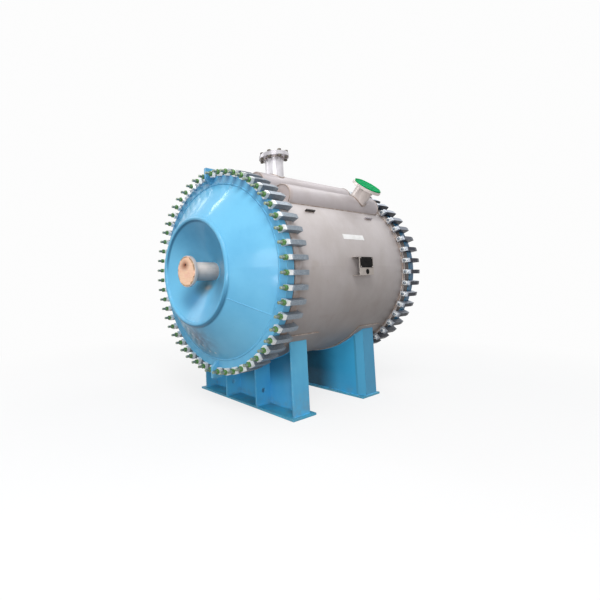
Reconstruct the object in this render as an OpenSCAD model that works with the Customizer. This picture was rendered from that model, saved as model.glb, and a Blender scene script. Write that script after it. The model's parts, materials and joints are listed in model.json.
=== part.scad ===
// Spiral heat exchanger, fixed plant, standing on two welded saddles.
// Millimetres, +Z up. The shell axis runs along Y, the front cover faces -Y.
// The origin is on the floor, under the middle of the shell.

/* [Shell] */
// outside radius of the shell
shell_r = 855; // [700:1:1100]
// wall of the shell
shell_wall = 12; // [6:1:30]
// length of the shell between the two gasket faces
shell_len = 1654; // [1150:1:2400]
// height of the shell axis above the floor
axis_h = 1248; // [1000:1:1800]
// how far the two shell rings stand out from the shell
ring_over = 24; // [15:1:60]
// thickness of a shell ring along the axis
ring_t = 68; // [30:1:120]
// thickness of a cover gasket
gasket_t = 16; // [4:1:30]
// how far a gasket sits back from the edge of the rim
gasket_inset = 12; // [4:1:40]
// how far a gasket reaches in past the bore of the shell
gasket_reach = 20; // [5:1:60]

/* [Covers] */
// thickness of the flat rim of a cover
rim_t = 73; // [30:1:120]
// width of the flat rim, from its edge to its bore
rim_w = 144; // [100:1:200]
// how far the foot of the cone stands in from the rim edge
cone_set = 79; // [60:1:120]
// radius of the circle the cone and the recess meet on
lip_r = 474; // [300:1:600]
// how far the lip stands out from the rim
lip_out = 250; // [100:1:400]
// bend radius on the lip
lip_bend = 15; // [14:1:60]
// plate of the cone and of the recess
cone_t = 12; // [5:1:20]
// how far the middle of the recess lies behind the rim face
root_set = 4; // [0:1:40]
// thickness of a cover lug
lug_t = 30; // [15:1:40]
// how far a cover lug stands out in front of the rim
lug_out = 64; // [20:1:120]
// height of a cover lug above the rim edge
lug_over = 89; // [30:1:150]
// how far a cover lug reaches back over the rim edge
lug_back = 58; // [20:1:70]
// foot of a cover lug, out from the foot of the cone
lug_foot = 12; // [4:1:30]
// nose of a cover lug, out from the foot of the cone
lug_nose = 70; // [40:1:110]
// corner cut off a cover lug
lug_cut = 18; // [4:1:30]

/* [Hook bolts] */
// number of hook bolts on each cover
bolt_n = 52; // [24:4:80]
// how far the bolt circle lies outside the shell rings
bolt_over = 26; // [26:1:60]
// diameter of the stud
stud_d = 24; // [16:1:36]
// width of the forged hook body
hook_w = 38; // [24:1:60]
// depth of the hook body outside the bolt circle
hook_out = 27; // [18:1:50]
// depth of the hook body inside the bolt circle
hook_in = 21; // [14:1:24]
// length of the hooked toe
toe_t = 36; // [20:1:60]
// slope cut off the outer corner of the toe
toe_slope = 22; // [10:1:30]
// gap between the front toes and the shell
toe_gap = 5; // [2:1:12]
// how far the hook body ends short of the face under its clamp block
hook_set = 3; // [1:1:10]
// thickness of the clamp block under the nut
clamp_t = 33; // [15:1:45]
// how far a clamp block reaches in over the edge it presses on
clamp_grip = 7; // [4:1:20]
// nut size across the flats
nut_af = 36; // [24:1:55]
// nut thickness
nut_t = 22; // [12:1:35]
// thread standing out of a front nut
thread_front = 42; // [5:1:80]
// thread standing out of a rear nut
thread_rear = 8; // [5:1:80]

/* [Nozzles] */
// outside diameter of every nozzle pipe
pipe_d = 168.3; // [90:0.1:205]
// wall of every nozzle pipe
pipe_wall = 7.1; // [3:0.1:12]
// outside diameter of every nozzle flange
flange_d = 279.4; // [190:0.1:360]
// thickness of every nozzle flange
flange_t = 25.4; // [15:0.1:40]
// distance of the bolt circle from the edge of the flange
flange_edge = 19.05; // [14:0.05:30]
// diameter of a flange bolt hole
flange_hole_d = 22.2; // [14:0.1:30]
// number of bolt holes in a flange
flange_hole_n = 8; // [4:4:12]
// thickness of the cap and of the lid
blank_t = 12; // [2:1:25]
// thickness of the wooden discs
wood_t = 6; // [4:1:25]
// how far the wooden discs stay inside the edge of the flange
wood_set = 8; // [0:0.5:12]
// how far the wooden discs sit off the middle, to the left of the front one
wood_left = 6; // [0:1:8]
// how far the cap of the inclined nozzle stays inside the edge of the flange
cap_set = 10; // [0:0.5:14]
// how far the lid of the vertical nozzle stays inside the edge of the flange
lid_set = 4; // [0:0.5:10]
// diameter of the studs that hold the lid of the vertical nozzle
lid_stud_d = 20; // [12:1:20]
// their nuts, size across the flats
lid_nut_af = 30; // [26:1:32]
// their nuts, thickness
lid_nut_t = 16; // [10:1:20]
// thread standing out of their nuts
lid_thread = 3; // [1:1:20]
// length of a cover nozzle pipe behind the rim face
pipe_stub = 60; // [20:1:200]
// flange face of a cover nozzle, out from the rim face
cover_nozzle_out = 303; // [260:1:420]
// vertical nozzle, height of its flange face over the top of the shell
top_nozzle_over = 240; // [180:1:400]
// vertical nozzle, back from the front end of its header
top_nozzle_set = 264; // [150:1:600]
// inclined nozzle, flange face out from the shell
side_nozzle_over = 231; // [180:1:400]
// inclined nozzle, forward from the rear end of its header
side_nozzle_set = 283; // [200:1:600]
// hole in the wooden blanking disc
knot_d = 24; // [10:1:60]
// hole in the wooden blanking disc, to the left of the middle
knot_left = 10; // [0:1:50]
// hole in the wooden blanking disc, above the middle
knot_up = 58; // [0:1:80]

/* [Headers] */
// outside diameter of the two half-pipe headers
header_d = 219.1; // [175:0.1:280]
// wall of the headers
header_wall = 8.2; // [4:0.1:14]
// how far the header axes lie inside the face of the shell
header_sink = 13; // [0:1:40]
// angle of the side header above the horizontal
side_angle = 46; // [42:1:48]
// angle of the top header above the horizontal
top_angle = 70; // [67:1:90]
// gap between the front toes and the front end of the headers
header_front_gap = 97; // [10:1:200]
// gap along the shell between the rear end of the headers and the rear studs
header_rear_gap = 8; // [5:1:200]
// plate closing the front end of a header
header_end_t = 10; // [5:1:20]
// radius on the edge of the domed rear ends
dome_bend = 14; // [8:1:30]
// rise of the domed rear ends inside that edge
dome_rise = 6; // [3:1:30]

/* [Saddles] */
// half width of a base plate
base_half = 635; // [632:1:900]
// length of a base plate along the shell
base_len = 284; // [245:1:345]
// thickness of a base plate
base_t = 18; // [10:1:30]
// gap along the shell between the front toes and the front base plate
front_base_gap = 68; // [10:1:200]
// gap along the shell between the rear base plate and the rear studs
rear_base_gap = 96; // [10:1:200]
// half width over the end plates of the front saddle
front_end_half = 606; // [450:1:620]
// half width over the end plates of the rear saddle
rear_end_half = 629; // [450:1:634]
// plate of the webs, end plates and ribs
plate_t = 14; // [8:1:25]
// length of a front end plate along the shell
front_end_len = 200; // [120:1:240]
// length of a rear end plate along the shell
rear_end_len = 170; // [100:1:210]
// front edge of the front end plates, back from the base edge
front_end_set = 41; // [10:1:60]
// front of the front web, back from the base edge
front_web_set = 186; // [100:1:240]
// front of the rear web, back from the base edge
rear_web_set = 20; // [5:1:60]
// bevelled corner of the rear saddle
corner_cut = 50; // [20:1:90]
// distance of a rib from the middle
rib_x = 208; // [120:1:280]
// how far a rib stays back from the edge of its base plate
rib_set = 4; // [0:1:30]
// diameter of the hole in a front rib
rib_hole_d = 42; // [10:1:80]
// height of the rib holes above the floor
rib_hole_h = 146; // [60:1:260]
// thickness of a saddle pad on the shell
pad_t = 10; // [5:1:20]
// length of a saddle pad along the shell
pad_len = 353; // [290:1:400]
// how far a pad reaches out past the widest end plates
pad_over = 24; // [5:1:60]
// how far the front pad sits back from the middle of its base plate
front_pad_shift = 41; // [0:1:60]
// how far the rear pad sits back from the middle of its base plate
rear_pad_shift = 12; // [0:1:60]
// anchor bolt holes, distance from the middle
anchor_x = 520; // [400:1:600]
// diameter of an anchor bolt hole
anchor_d = 26; // [14:1:40]

/* [Fittings on the shell] */
// nameplate bracket, width along the shell
bracket_w = 211; // [120:1:300]
// nameplate bracket, height
bracket_h = 158; // [120:1:220]
// nameplate bracket, face out from the shell
bracket_out = 65; // [25:1:100]
// nameplate bracket, front edge along the shell
bracket_y = -77; // [-300:1:200]
// nameplate bracket, lower edge from the axis height
bracket_z = -83; // [-150:1:0]
// sheet of the bracket
sheet_t = 3; // [2:0.5:6]
// thickness of the nameplate and of the round tag
name_t = 2; // [1:0.5:4]
// black nameplate, width
plate_w = 184; // [100:1:205]
// black nameplate, height
plate_h = 91; // [50:1:100]
// gap between the nameplate and the top of the bracket
plate_drop = 2; // [0:1:10]
// round tag under the nameplate, diameter
tag_d = 46; // [20:1:48]
// middle of the round tag, back from the front of the bracket
tag_y = 115; // [30:1:150]
// middle of the round tag, up from the foot of the bracket
tag_up = 31; // [24:1:40]
// length of the white label strip
label_len = 307; // [150:1:400]
// height of the white label strip
label_h = 48; // [25:1:80]
// angle of the middle of the label above the horizontal
label_angle = 17.5; // [12:0.5:26]
// thickness of the label
label_t = 1.5; // [0.5:0.5:3]
// front end of the label
label_y = -126; // [-300:1:100]
// small lugs beside the side header, length
small_lug_len = 112; // [60:1:140]
// small lugs, thickness
small_lug_t = 10; // [6:1:20]
// small lugs, height off the shell
small_lug_h = 24; // [12:1:40]
// small lugs, angle above the horizontal
small_lug_angle = 33; // [28:1:35]
// small lugs, distance of their middles from the inner edge of the toes
small_lug_set = 291; // [150:1:400]

/* [Hidden] */
// running fit, and how far a cut runs past the faces it opens
fit = 0.3;
past = 5;
half_len = shell_len / 2;
ring_r = shell_r + ring_over;
bolt_r = ring_r + bolt_over;
rim_in_r = ring_r - rim_w;
cone_r = ring_r - cone_set;
ring_y = half_len - ring_t;
toe_y = ring_y - toe_t;
stud_y = ring_y - clamp_t - nut_t - thread_rear;
rim_in_y = half_len + gasket_t;
rim_out_y = rim_in_y + rim_t;
pad_r = shell_r + pad_t;
hook_top = bolt_r + hook_out;
hook_low = bolt_r - hook_in;
toe_low = shell_r + toe_gap;
hook_bevel = 6;
toe_bevel = 8;
nut_r = nut_af / sqrt(3);
hole_r = stud_d / 2 + fit;
pipe_r = pipe_d / 2;
bore_r = pipe_r - pipe_wall;
flange_pcd = flange_d - 2 * flange_edge;
top_nozzle_h = shell_r + top_nozzle_over;
side_nozzle_h = shell_r + side_nozzle_over;
header_at = shell_r - header_sink;
header_front = -toe_y + header_front_gap;
header_rear = stud_y - header_rear_gap;
top_nozzle_x = header_at * cos(top_angle);
top_nozzle_y = header_front + top_nozzle_set;
side_nozzle_y = header_rear - side_nozzle_set;
header_r = header_d / 2;
header_bore = header_r - header_wall;
dome_h = dome_bend + dome_rise;
front_base_y = -toe_y + front_base_gap;
rear_base_y = stud_y - rear_base_gap - base_len;
front_web_y = front_base_y + front_web_set;
front_end_y = front_base_y + front_end_set;
rear_web_y = rear_base_y + rear_web_set;
front_pad_y = front_base_y + base_len / 2 + front_pad_shift - pad_len / 2;
rear_pad_y = rear_base_y + base_len / 2 + rear_pad_shift - pad_len / 2;
pad_angle = acos((max(front_end_half, rear_end_half) + pad_over) / pad_r);
bracket_x = shell_r + bracket_out;
bracket_reach = max(abs(bracket_z), abs(bracket_z + bracket_h));
side_x = sqrt(shell_r * shell_r - bracket_reach * bracket_reach) - past;
small_lug_y = toe_y - small_lug_set;

blue = [0.36, 0.66, 0.86];
steel = [0.66, 0.63, 0.61];
zinc = [0.52, 0.56, 0.6];
white = [0.9, 0.91, 0.9];
green = [0.3, 0.45, 0.26];
black = [0.05, 0.05, 0.06];
wood = [0.93, 0.72, 0.55];
rubber = [0.16, 0.16, 0.17];
cap = [0.05, 0.68, 0.42];

function unit(v) = v / norm(v);
function polar(a) = [cos(a), sin(a)];

// cover profile in (radius, distance out from the middle of the shell)
p_edge = [cone_r, rim_out_y];
p_tip = [lip_r, rim_out_y + lip_out];
p_root = [pipe_r, rim_out_y - root_set];
u_cone = unit(p_edge - p_tip);
u_dish = unit(p_root - p_tip);
half_tip = acos(u_cone * u_dish) / 2;
u_mid = unit(u_cone + u_dish);
bend_c = p_tip + u_mid * (lip_bend / sin(half_tip));
tan_cone = p_tip + u_cone * (lip_bend / tan(half_tip));
tan_dish = p_tip + u_dish * (lip_bend / tan(half_tip));
n_cone = unit(tan_cone - bend_c);
n_dish = unit(tan_dish - bend_c);
a_cone = atan2(n_cone[1], n_cone[0]);
a_dish = atan2(n_dish[1], n_dish[0]);
in_cone = tan_cone - n_cone * cone_t;
in_dish = tan_dish - n_dish * cone_t;
foot = in_cone + u_cone * ((rim_out_y - in_cone[1]) / u_cone[1]);
root_in = in_dish + u_dish * ((pipe_r - in_dish[0]) / u_dish[0]);
bend_steps = 6;
dome_steps = 4;
bend_angles = [for (i = [0:bend_steps]) a_cone + (a_dish - a_cone) * i / bend_steps];

// turns a shape built along +Z so that it runs along +Y at axis height
module on_axis() {
    translate([0, 0, axis_h]) rotate([-90, 0, 0]) children();
}

// mirrors a front part to the rear end
module at_rear() {
    mirror([0, 1, 0]) children();
}

// a solid round bar along Y
module bar(r, y0, y1) {
    on_axis() translate([0, 0, y0]) cylinder(r = r, h = y1 - y0, $fn = 240);
}

// a plain ring along Y
module ring(r_out, r_in, y0, y1) {
    on_axis() difference() {
        translate([0, 0, y0]) cylinder(r = r_out, h = y1 - y0, $fn = 240);
        translate([0, 0, y0 - past]) cylinder(r = r_in, h = y1 - y0 + 2 * past, $fn = 240);
    }
}

// repeats a part built at the top of the shell, once for every hook bolt
module bolt_ring() {
    for (k = [0:bolt_n - 1]) {
        translate([0, 0, axis_h]) rotate([0, (k + 0.5) * 360 / bolt_n, 0]) children();
    }
}

// moves a part built round +Z so that it leaves the shell at an angle above +X
module radial(a, y) {
    translate([0, y, axis_h]) rotate([0, 90 - a, 0]) children();
}

// ---------- shell ----------
module shell() {
    color(steel) ring(shell_r, shell_r - shell_wall, -half_len, half_len);
}

module shell_ring() {
    color(steel) ring(ring_r, shell_r, -half_len, -half_len + ring_t);
}

module cover_gasket() {
    color(rubber) ring(ring_r - gasket_inset, shell_r - shell_wall - gasket_reach,
        -rim_in_y, -half_len);
}

// ---------- covers, built at the front ----------
module cover_rim() {
    color(blue) ring(ring_r, rim_in_r, -rim_out_y, -rim_in_y);
}

// turns a profile drawn as (radius, distance out) into a body on the front side
module front_spin(profile) {
    translate([0, 0, axis_h]) rotate([90, 0, 0]) rotate_extrude($fn = 240) polygon(profile);
}

module cover_cone() {
    outer = [for (a = bend_angles) bend_c + polar(a) * lip_bend];
    inner = [for (i = [0:bend_steps])
        bend_c + polar(bend_angles[bend_steps - i]) * (lip_bend - cone_t)];
    color(blue) front_spin(concat([foot, p_edge], outer, inner));
}

module cover_recess() {
    color(blue) front_spin([tan_dish, in_dish, root_in, p_root]);
}

// one lug on the top of the cover rim, and the same one at the bottom
module cover_lug() {
    profile = [
        [-rim_out_y, cone_r + lug_foot],
        [-rim_out_y, ring_r + fit],
        [-rim_out_y + lug_back, ring_r + fit],
        [-rim_out_y + lug_back, ring_r + lug_over - lug_cut],
        [-rim_out_y + lug_back - lug_cut, ring_r + lug_over],
        [-rim_out_y - lug_out, ring_r + lug_over],
        [-rim_out_y - lug_out, cone_r + lug_nose]
    ];
    for (turn = [0, 180]) {
        translate([0, 0, axis_h]) rotate([0, turn, 0]) rotate([90, 0, 90])
            translate([0, 0, -lug_t / 2]) linear_extrude(lug_t) polygon(profile);
    }
}

module cover_lugs() {
    color(blue) {
        cover_lug();
        at_rear() cover_lug();
    }
}

// ---------- hook bolts, built at the front ----------
// the rear ones point the same way: they hook over the rear rim, and their
// clamp blocks and nuts lie on the front side of the rear shell ring
module rear_bolts() {
    translate([0, rim_out_y + ring_y, 0]) bolt_ring() children();
}

// seen from outside, the end of the toe is a half round
module hook_plan() {
    round_y = -toe_y - hook_w / 2;
    translate([0, round_y]) circle(d = hook_w, $fn = 64);
    translate([-hook_w / 2, -rim_out_y]) square([hook_w, round_y + rim_out_y]);
}

module hook_bolt(thread) {
    profile = [
        [-rim_out_y + hook_set, hook_low],
        [-rim_out_y + hook_set, hook_top - hook_bevel],
        [-rim_out_y + hook_set + hook_bevel, hook_top],
        [-ring_y - toe_slope, hook_top],
        [-toe_y - toe_bevel, hook_top - toe_bevel],
        [-toe_y, hook_top - toe_slope],
        [-toe_y, toe_low + toe_bevel],
        [-toe_y - toe_bevel, toe_low],
        [-ring_y, toe_low],
        [-ring_y, hook_low]
    ];
    stud_in = 2 * hook_set;
    stud_len = clamp_t + nut_t + thread + stud_in;
    color(zinc) union() {
        intersection() {
            rotate([90, 0, 90]) translate([0, 0, -hook_w / 2]) linear_extrude(hook_w) polygon(profile);
            translate([0, 0, toe_low - past]) linear_extrude(hook_top - toe_low + 2 * past) hook_plan();
        }
        translate([0, -rim_out_y + stud_in, bolt_r]) rotate([90, 0, 0])
            cylinder(r = stud_d / 2, h = stud_len, $fn = 32);
    }
}

module clamp_block() {
    low = ring_r - clamp_grip;
    color(white) difference() {
        translate([-hook_w / 2, -rim_out_y - clamp_t, low]) cube([hook_w, clamp_t, hook_top - low]);
        translate([0, -rim_out_y + past, bolt_r]) rotate([90, 0, 0])
            cylinder(r = hole_r, h = clamp_t + 2 * past, $fn = 32);
    }
}

module nut() {
    color(green) translate([0, -rim_out_y - clamp_t, bolt_r]) rotate([90, 0, 0]) difference() {
        rotate([0, 0, 30]) cylinder(r = nut_r, h = nut_t, $fn = 6);
        translate([0, 0, -past]) cylinder(r = hole_r, h = nut_t + 2 * past, $fn = 32);
    }
}

// ---------- nozzles ----------
// repeats a bolt or a hole on the bolt circle of a flange, straddling the centre lines
module flange_bolts() {
    for (k = [0:flange_hole_n - 1]) {
        rotate([0, 0, (k + 0.5) * 360 / flange_hole_n]) translate([flange_pcd / 2, 0, 0]) children();
    }
}

// a flange lying on z = 0
module flange(colour) {
    color(colour) difference() {
        cylinder(d = flange_d, h = flange_t, $fn = 128);
        translate([0, 0, -past]) cylinder(r = bore_r, h = flange_t + 2 * past, $fn = 128);
        flange_bolts() translate([0, 0, -past])
            cylinder(d = flange_hole_d, h = flange_t + 2 * past, $fn = 32);
    }
}

module cover_nozzle_pipe() {
    pipe_len = pipe_stub + cover_nozzle_out - flange_t;
    color(steel) translate([0, pipe_stub - rim_out_y, axis_h]) rotate([90, 0, 0]) difference() {
        cylinder(r = pipe_r, h = pipe_len, $fn = 128);
        translate([0, 0, -past]) cylinder(r = bore_r, h = pipe_len + 2 * past, $fn = 128);
    }
}

module cover_nozzle_flange() {
    flange_y = rim_out_y + cover_nozzle_out - flange_t;
    translate([0, -flange_y, axis_h]) rotate([90, 0, 0]) flange(steel);
}

module cover_nozzle_blank(knot, colour) {
    blank_y = rim_out_y + cover_nozzle_out;
    color(colour) translate([0, -blank_y, axis_h]) rotate([90, 0, 0]) difference() {
        translate([-wood_left, 0, 0]) cylinder(d = flange_d - 2 * wood_set, h = wood_t, $fn = 128);
        if (knot > 0) translate([-knot_left, knot_up, -past])
            cylinder(d = knot, h = wood_t + 2 * past, $fn = 32);
    }
}

// ---------- headers ----------
// a solid bar on the header line
module header_bar(a, r, y0, y1) {
    radial(a, 0) translate([0, 0, header_at]) rotate([-90, 0, 0]) translate([0, 0, y0])
        cylinder(r = r, h = y1 - y0, $fn = 128);
}

module header(a) {
    color(steel) difference() {
        header_bar(a, header_r, header_front, header_rear - dome_h);
        header_bar(a, header_bore, header_front - past, header_rear + past);
        bar(shell_r, -half_len, half_len);
    }
}

// flat plate at the front of a header, let into the bore
module header_front_end(a) {
    difference() {
        header_bar(a, header_bore, header_front, header_front + header_end_t);
        bar(shell_r, -half_len, half_len);
    }
}

// low dome with a rounded edge, closing the rear of a header
module header_rear_end(a) {
    bend_x = header_r - dome_bend;
    edge = [for (i = [0:dome_steps])
        [bend_x, -dome_h] + polar(i * 90 / dome_steps) * dome_bend];
    crown = [for (i = [1:dome_steps])
        [bend_x * (1 - i / dome_steps), -dome_rise * (1 - i / dome_steps) ^ 2]];
    difference() {
        radial(a, header_rear) translate([0, 0, header_at]) rotate([-90, 0, 0])
            rotate_extrude($fn = 128) polygon(concat([[0, -dome_h]], edge, crown));
        bar(shell_r, -half_len, half_len);
    }
}

module header_ends() {
    color(steel) {
        header_front_end(side_angle);
        header_front_end(top_angle);
        header_rear_end(side_angle);
        header_rear_end(top_angle);
    }
}

// the inclined nozzle stands square on the side header
module side_nozzle_pipe() {
    color(steel) difference() {
        radial(side_angle, side_nozzle_y) translate([0, 0, header_at])
            cylinder(r = pipe_r, h = side_nozzle_h - flange_t - header_at, $fn = 128);
        radial(side_angle, side_nozzle_y) translate([0, 0, header_at - past])
            cylinder(r = bore_r, h = side_nozzle_h - header_at, $fn = 128);
        header_bar(side_angle, header_r, header_front, header_rear);
    }
}

module side_nozzle_flange() {
    radial(side_angle, side_nozzle_y) translate([0, 0, side_nozzle_h - flange_t]) flange(steel);
}

module side_nozzle_blank() {
    color(cap) radial(side_angle, side_nozzle_y) translate([0, 0, side_nozzle_h])
        cylinder(d = flange_d - 2 * cap_set, h = blank_t, $fn = 128);
}

// the vertical nozzle stands upright on the top header
module top_nozzle_pipe() {
    foot_z = header_at * sin(top_angle);
    color(steel) difference() {
        translate([top_nozzle_x, top_nozzle_y, axis_h + foot_z])
            cylinder(r = pipe_r, h = top_nozzle_h - flange_t - foot_z, $fn = 128);
        translate([top_nozzle_x, top_nozzle_y, axis_h + foot_z - past])
            cylinder(r = bore_r, h = top_nozzle_h - foot_z, $fn = 128);
        header_bar(top_angle, header_r, header_front, header_rear);
    }
}

// moves a part built on z = 0 to the face of the vertical nozzle
module on_top_nozzle() {
    translate([top_nozzle_x, top_nozzle_y, axis_h + top_nozzle_h]) children();
}

module top_nozzle_flange() {
    on_top_nozzle() translate([0, 0, -flange_t]) flange(steel);
}

module top_nozzle_blank() {
    color(steel) on_top_nozzle() difference() {
        cylinder(d = flange_d - 2 * lid_set, h = blank_t, $fn = 128);
        flange_bolts() translate([0, 0, -past])
            cylinder(d = flange_hole_d, h = blank_t + 2 * past, $fn = 32);
    }
}

// studs with a nut at each end
module top_nozzle_bolts() {
    low = -flange_t - lid_nut_t;
    high = blank_t + lid_nut_t;
    color(green) on_top_nozzle() flange_bolts() union() {
        translate([0, 0, low - lid_thread])
            cylinder(d = lid_stud_d, h = high - low + 2 * lid_thread, $fn = 32);
        translate([0, 0, low]) cylinder(r = lid_nut_af / sqrt(3), h = lid_nut_t, $fn = 6);
        translate([0, 0, blank_t]) cylinder(r = lid_nut_af / sqrt(3), h = lid_nut_t, $fn = 6);
    }
}

// ---------- saddles ----------
module base_plate(y) {
    difference() {
        translate([-base_half, y, 0]) cube([2 * base_half, base_len, base_t]);
        for (side = [-1, 1]) {
            translate([side * anchor_x, y + base_len / 2, -past])
                cylinder(d = anchor_d, h = base_t + 2 * past, $fn = 32);
        }
    }
}

module saddle_bases() {
    color(blue) {
        base_plate(front_base_y);
        base_plate(rear_base_y);
    }
}

// cuts a standing plate to the underside of a saddle pad
module under_pad() {
    difference() {
        children();
        bar(pad_r, -half_len, half_len);
    }
}

module front_saddle_web() {
    w = front_end_half - plate_t;
    color(blue) under_pad() translate([-w, front_web_y, base_t])
        cube([2 * w, plate_t, axis_h - base_t]);
}

module front_saddle_ribs() {
    rib_y = front_base_y + rib_set;
    color(blue) difference() {
        under_pad() for (side = [-1, 1]) {
            translate([side * rib_x - plate_t / 2, rib_y, base_t])
                cube([plate_t, front_web_y - rib_y, axis_h - base_t]);
        }
        translate([-base_half, (rib_y + front_web_y) / 2, rib_hole_h]) rotate([0, 90, 0])
            cylinder(d = rib_hole_d, h = 2 * base_half, $fn = 48);
    }
}

// the rear web is bent back at both ends
module rear_saddle_web() {
    flat = rear_end_half - corner_cut;
    inner = flat - plate_t * tan(22.5);
    profile = [
        [-flat, rear_web_y],
        [flat, rear_web_y],
        [rear_end_half, rear_web_y + corner_cut],
        [rear_end_half - plate_t, rear_web_y + corner_cut],
        [inner, rear_web_y + plate_t],
        [-inner, rear_web_y + plate_t],
        [-rear_end_half + plate_t, rear_web_y + corner_cut],
        [-rear_end_half, rear_web_y + corner_cut]
    ];
    color(blue) under_pad() translate([0, 0, base_t]) linear_extrude(axis_h - base_t)
        polygon(profile);
}

// the upright plates at both ends of a saddle
module end_plates(half, y, len) {
    for (side = [-1, 1]) {
        translate([side * (half - plate_t / 2) - plate_t / 2, y, base_t])
            cube([plate_t, len, axis_h - base_t]);
    }
}

module saddle_end_plates() {
    color(blue) under_pad() {
        end_plates(front_end_half, front_end_y, front_end_len);
        end_plates(rear_end_half, rear_web_y + corner_cut, rear_end_len);
    }
}

module rear_saddle_ribs() {
    rib_y = rear_web_y + plate_t;
    rib_end = rear_base_y + base_len - rib_set;
    color(blue) difference() {
        under_pad() for (side = [-1, 1]) {
            translate([side * rib_x - plate_t / 2, rib_y, base_t])
                cube([plate_t, rib_end - rib_y, axis_h - base_t]);
        }
        translate([-base_half, (rib_y + rib_end) / 2, rib_hole_h]) rotate([0, 90, 0])
            cylinder(d = rib_hole_d, h = 2 * base_half, $fn = 48);
    }
}

// a curved plate lying on the shell between two angles above +X
module on_shell(r_in, r_out, a0, a1, y0, y1) {
    translate([0, y1, axis_h]) rotate([90, 0, 0]) rotate([0, 0, a0])
        rotate_extrude(angle = a1 - a0, $fn = 360)
            translate([r_in, 0]) square([r_out - r_in, y1 - y0]);
}

module saddle_pads() {
    color(steel) {
        on_shell(shell_r, pad_r, 180 + pad_angle, 360 - pad_angle, front_pad_y, front_pad_y + pad_len);
        on_shell(shell_r, pad_r, 180 + pad_angle, 360 - pad_angle, rear_pad_y, rear_pad_y + pad_len);
    }
}

// ---------- fittings on the shell ----------
// a sheet bent to a front and two legs, one above and one below, open at both sides
module nameplate_bracket() {
    low = axis_h + bracket_z;
    color(steel) difference() {
        translate([side_x, bracket_y, low]) cube([bracket_x - side_x, bracket_w, bracket_h]);
        translate([side_x - past, bracket_y - past, low + sheet_t])
            cube([bracket_x - side_x + past - sheet_t, bracket_w + 2 * past, bracket_h - 2 * sheet_t]);
        bar(shell_r, -half_len, half_len);
    }
}

module nameplate() {
    color(black) translate([bracket_x, bracket_y + (bracket_w - plate_w) / 2,
        axis_h + bracket_z + bracket_h - plate_h - plate_drop]) cube([name_t, plate_w, plate_h]);
}

module round_tag() {
    color(black) translate([bracket_x, bracket_y + tag_y, axis_h + bracket_z + tag_up])
        rotate([0, 90, 0]) cylinder(d = tag_d, h = name_t, $fn = 48);
}

module label_strip() {
    span = label_h / shell_r * 180 / PI;
    color(white) on_shell(shell_r, shell_r + label_t, label_angle - span / 2, label_angle + span / 2,
        label_y, label_y + label_len);
}

module small_lugs() {
    color(steel) difference() {
        for (side = [-1, 1]) {
            radial(small_lug_angle, side * small_lug_y)
                translate([-small_lug_t / 2, -small_lug_len / 2, shell_r - past])
                    cube([small_lug_t, small_lug_len, small_lug_h + past]);
        }
        bar(shell_r, -half_len, half_len);
    }
}

shell();
shell_ring();  // front_shell_ring
at_rear() shell_ring();  // rear_shell_ring
cover_gasket();  // cover_gaskets
at_rear() cover_gasket();  // cover_gaskets
cover_rim();  // front_cover_rim
cover_cone();  // front_cover_cone
cover_recess();  // front_cover_recess
at_rear() cover_rim();  // rear_cover_rim
at_rear() cover_cone();  // rear_cover_cone
at_rear() cover_recess();  // rear_cover_recess
cover_lugs();
bolt_ring() hook_bolt(thread_front);  // front_hook_bolts
bolt_ring() nut();  // front_nuts
bolt_ring() clamp_block();  // front_clamp_blocks
rear_bolts() hook_bolt(thread_rear);  // rear_hook_bolts
rear_bolts() nut();  // rear_nuts
rear_bolts() clamp_block();  // rear_clamp_blocks
cover_nozzle_pipe();  // front_nozzle_pipe
cover_nozzle_flange();  // front_nozzle_flange
cover_nozzle_blank(knot_d, wood);  // front_nozzle_blank
at_rear() cover_nozzle_pipe();  // rear_nozzle_pipe
at_rear() cover_nozzle_flange();  // rear_nozzle_flange
at_rear() cover_nozzle_blank(0, wood);  // rear_nozzle_blank
header(side_angle);  // side_header
header(top_angle);  // top_header
header_ends();
side_nozzle_pipe();
side_nozzle_flange();
side_nozzle_blank();
top_nozzle_pipe();
top_nozzle_flange();
top_nozzle_blank();
top_nozzle_bolts();
saddle_bases();
front_saddle_web();
front_saddle_ribs();
rear_saddle_web();
rear_saddle_ribs();
saddle_end_plates();
saddle_pads();
nameplate_bracket();
nameplate();
round_tag();
label_strip();
small_lugs();
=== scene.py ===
# %% [markdown]
# # A spiral heat exchanger, finished in Blender
# The machine is a steel drum that lies on two welded saddles. A conical cover is held on
# each end by a ring of hook bolts. The exact shapes come from the CAD model, so this
# lesson only gives them their finishes and adds what is too small or too irregular for CAD:
# weld beads, screw threads, chamfered nuts, rivets and the moulded ribs of a plastic cap.

# %% Load the model
import json
import math

import bpy
import numpy as np
from mathutils import Matrix, Vector


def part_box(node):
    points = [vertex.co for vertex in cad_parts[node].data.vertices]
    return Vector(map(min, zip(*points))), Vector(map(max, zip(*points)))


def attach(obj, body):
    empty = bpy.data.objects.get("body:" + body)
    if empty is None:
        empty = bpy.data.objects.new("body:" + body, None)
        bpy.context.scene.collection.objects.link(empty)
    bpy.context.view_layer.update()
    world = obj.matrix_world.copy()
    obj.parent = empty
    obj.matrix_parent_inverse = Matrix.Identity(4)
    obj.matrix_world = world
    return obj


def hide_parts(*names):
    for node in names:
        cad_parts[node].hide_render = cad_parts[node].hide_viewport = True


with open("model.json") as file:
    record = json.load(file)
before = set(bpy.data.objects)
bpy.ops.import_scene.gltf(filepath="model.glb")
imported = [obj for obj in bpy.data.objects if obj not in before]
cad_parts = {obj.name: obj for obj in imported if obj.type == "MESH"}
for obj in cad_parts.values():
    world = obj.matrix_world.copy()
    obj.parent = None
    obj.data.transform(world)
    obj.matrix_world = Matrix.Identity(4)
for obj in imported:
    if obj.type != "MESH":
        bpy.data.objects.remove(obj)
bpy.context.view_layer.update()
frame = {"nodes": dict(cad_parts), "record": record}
NODES = frame["nodes"]

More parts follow.
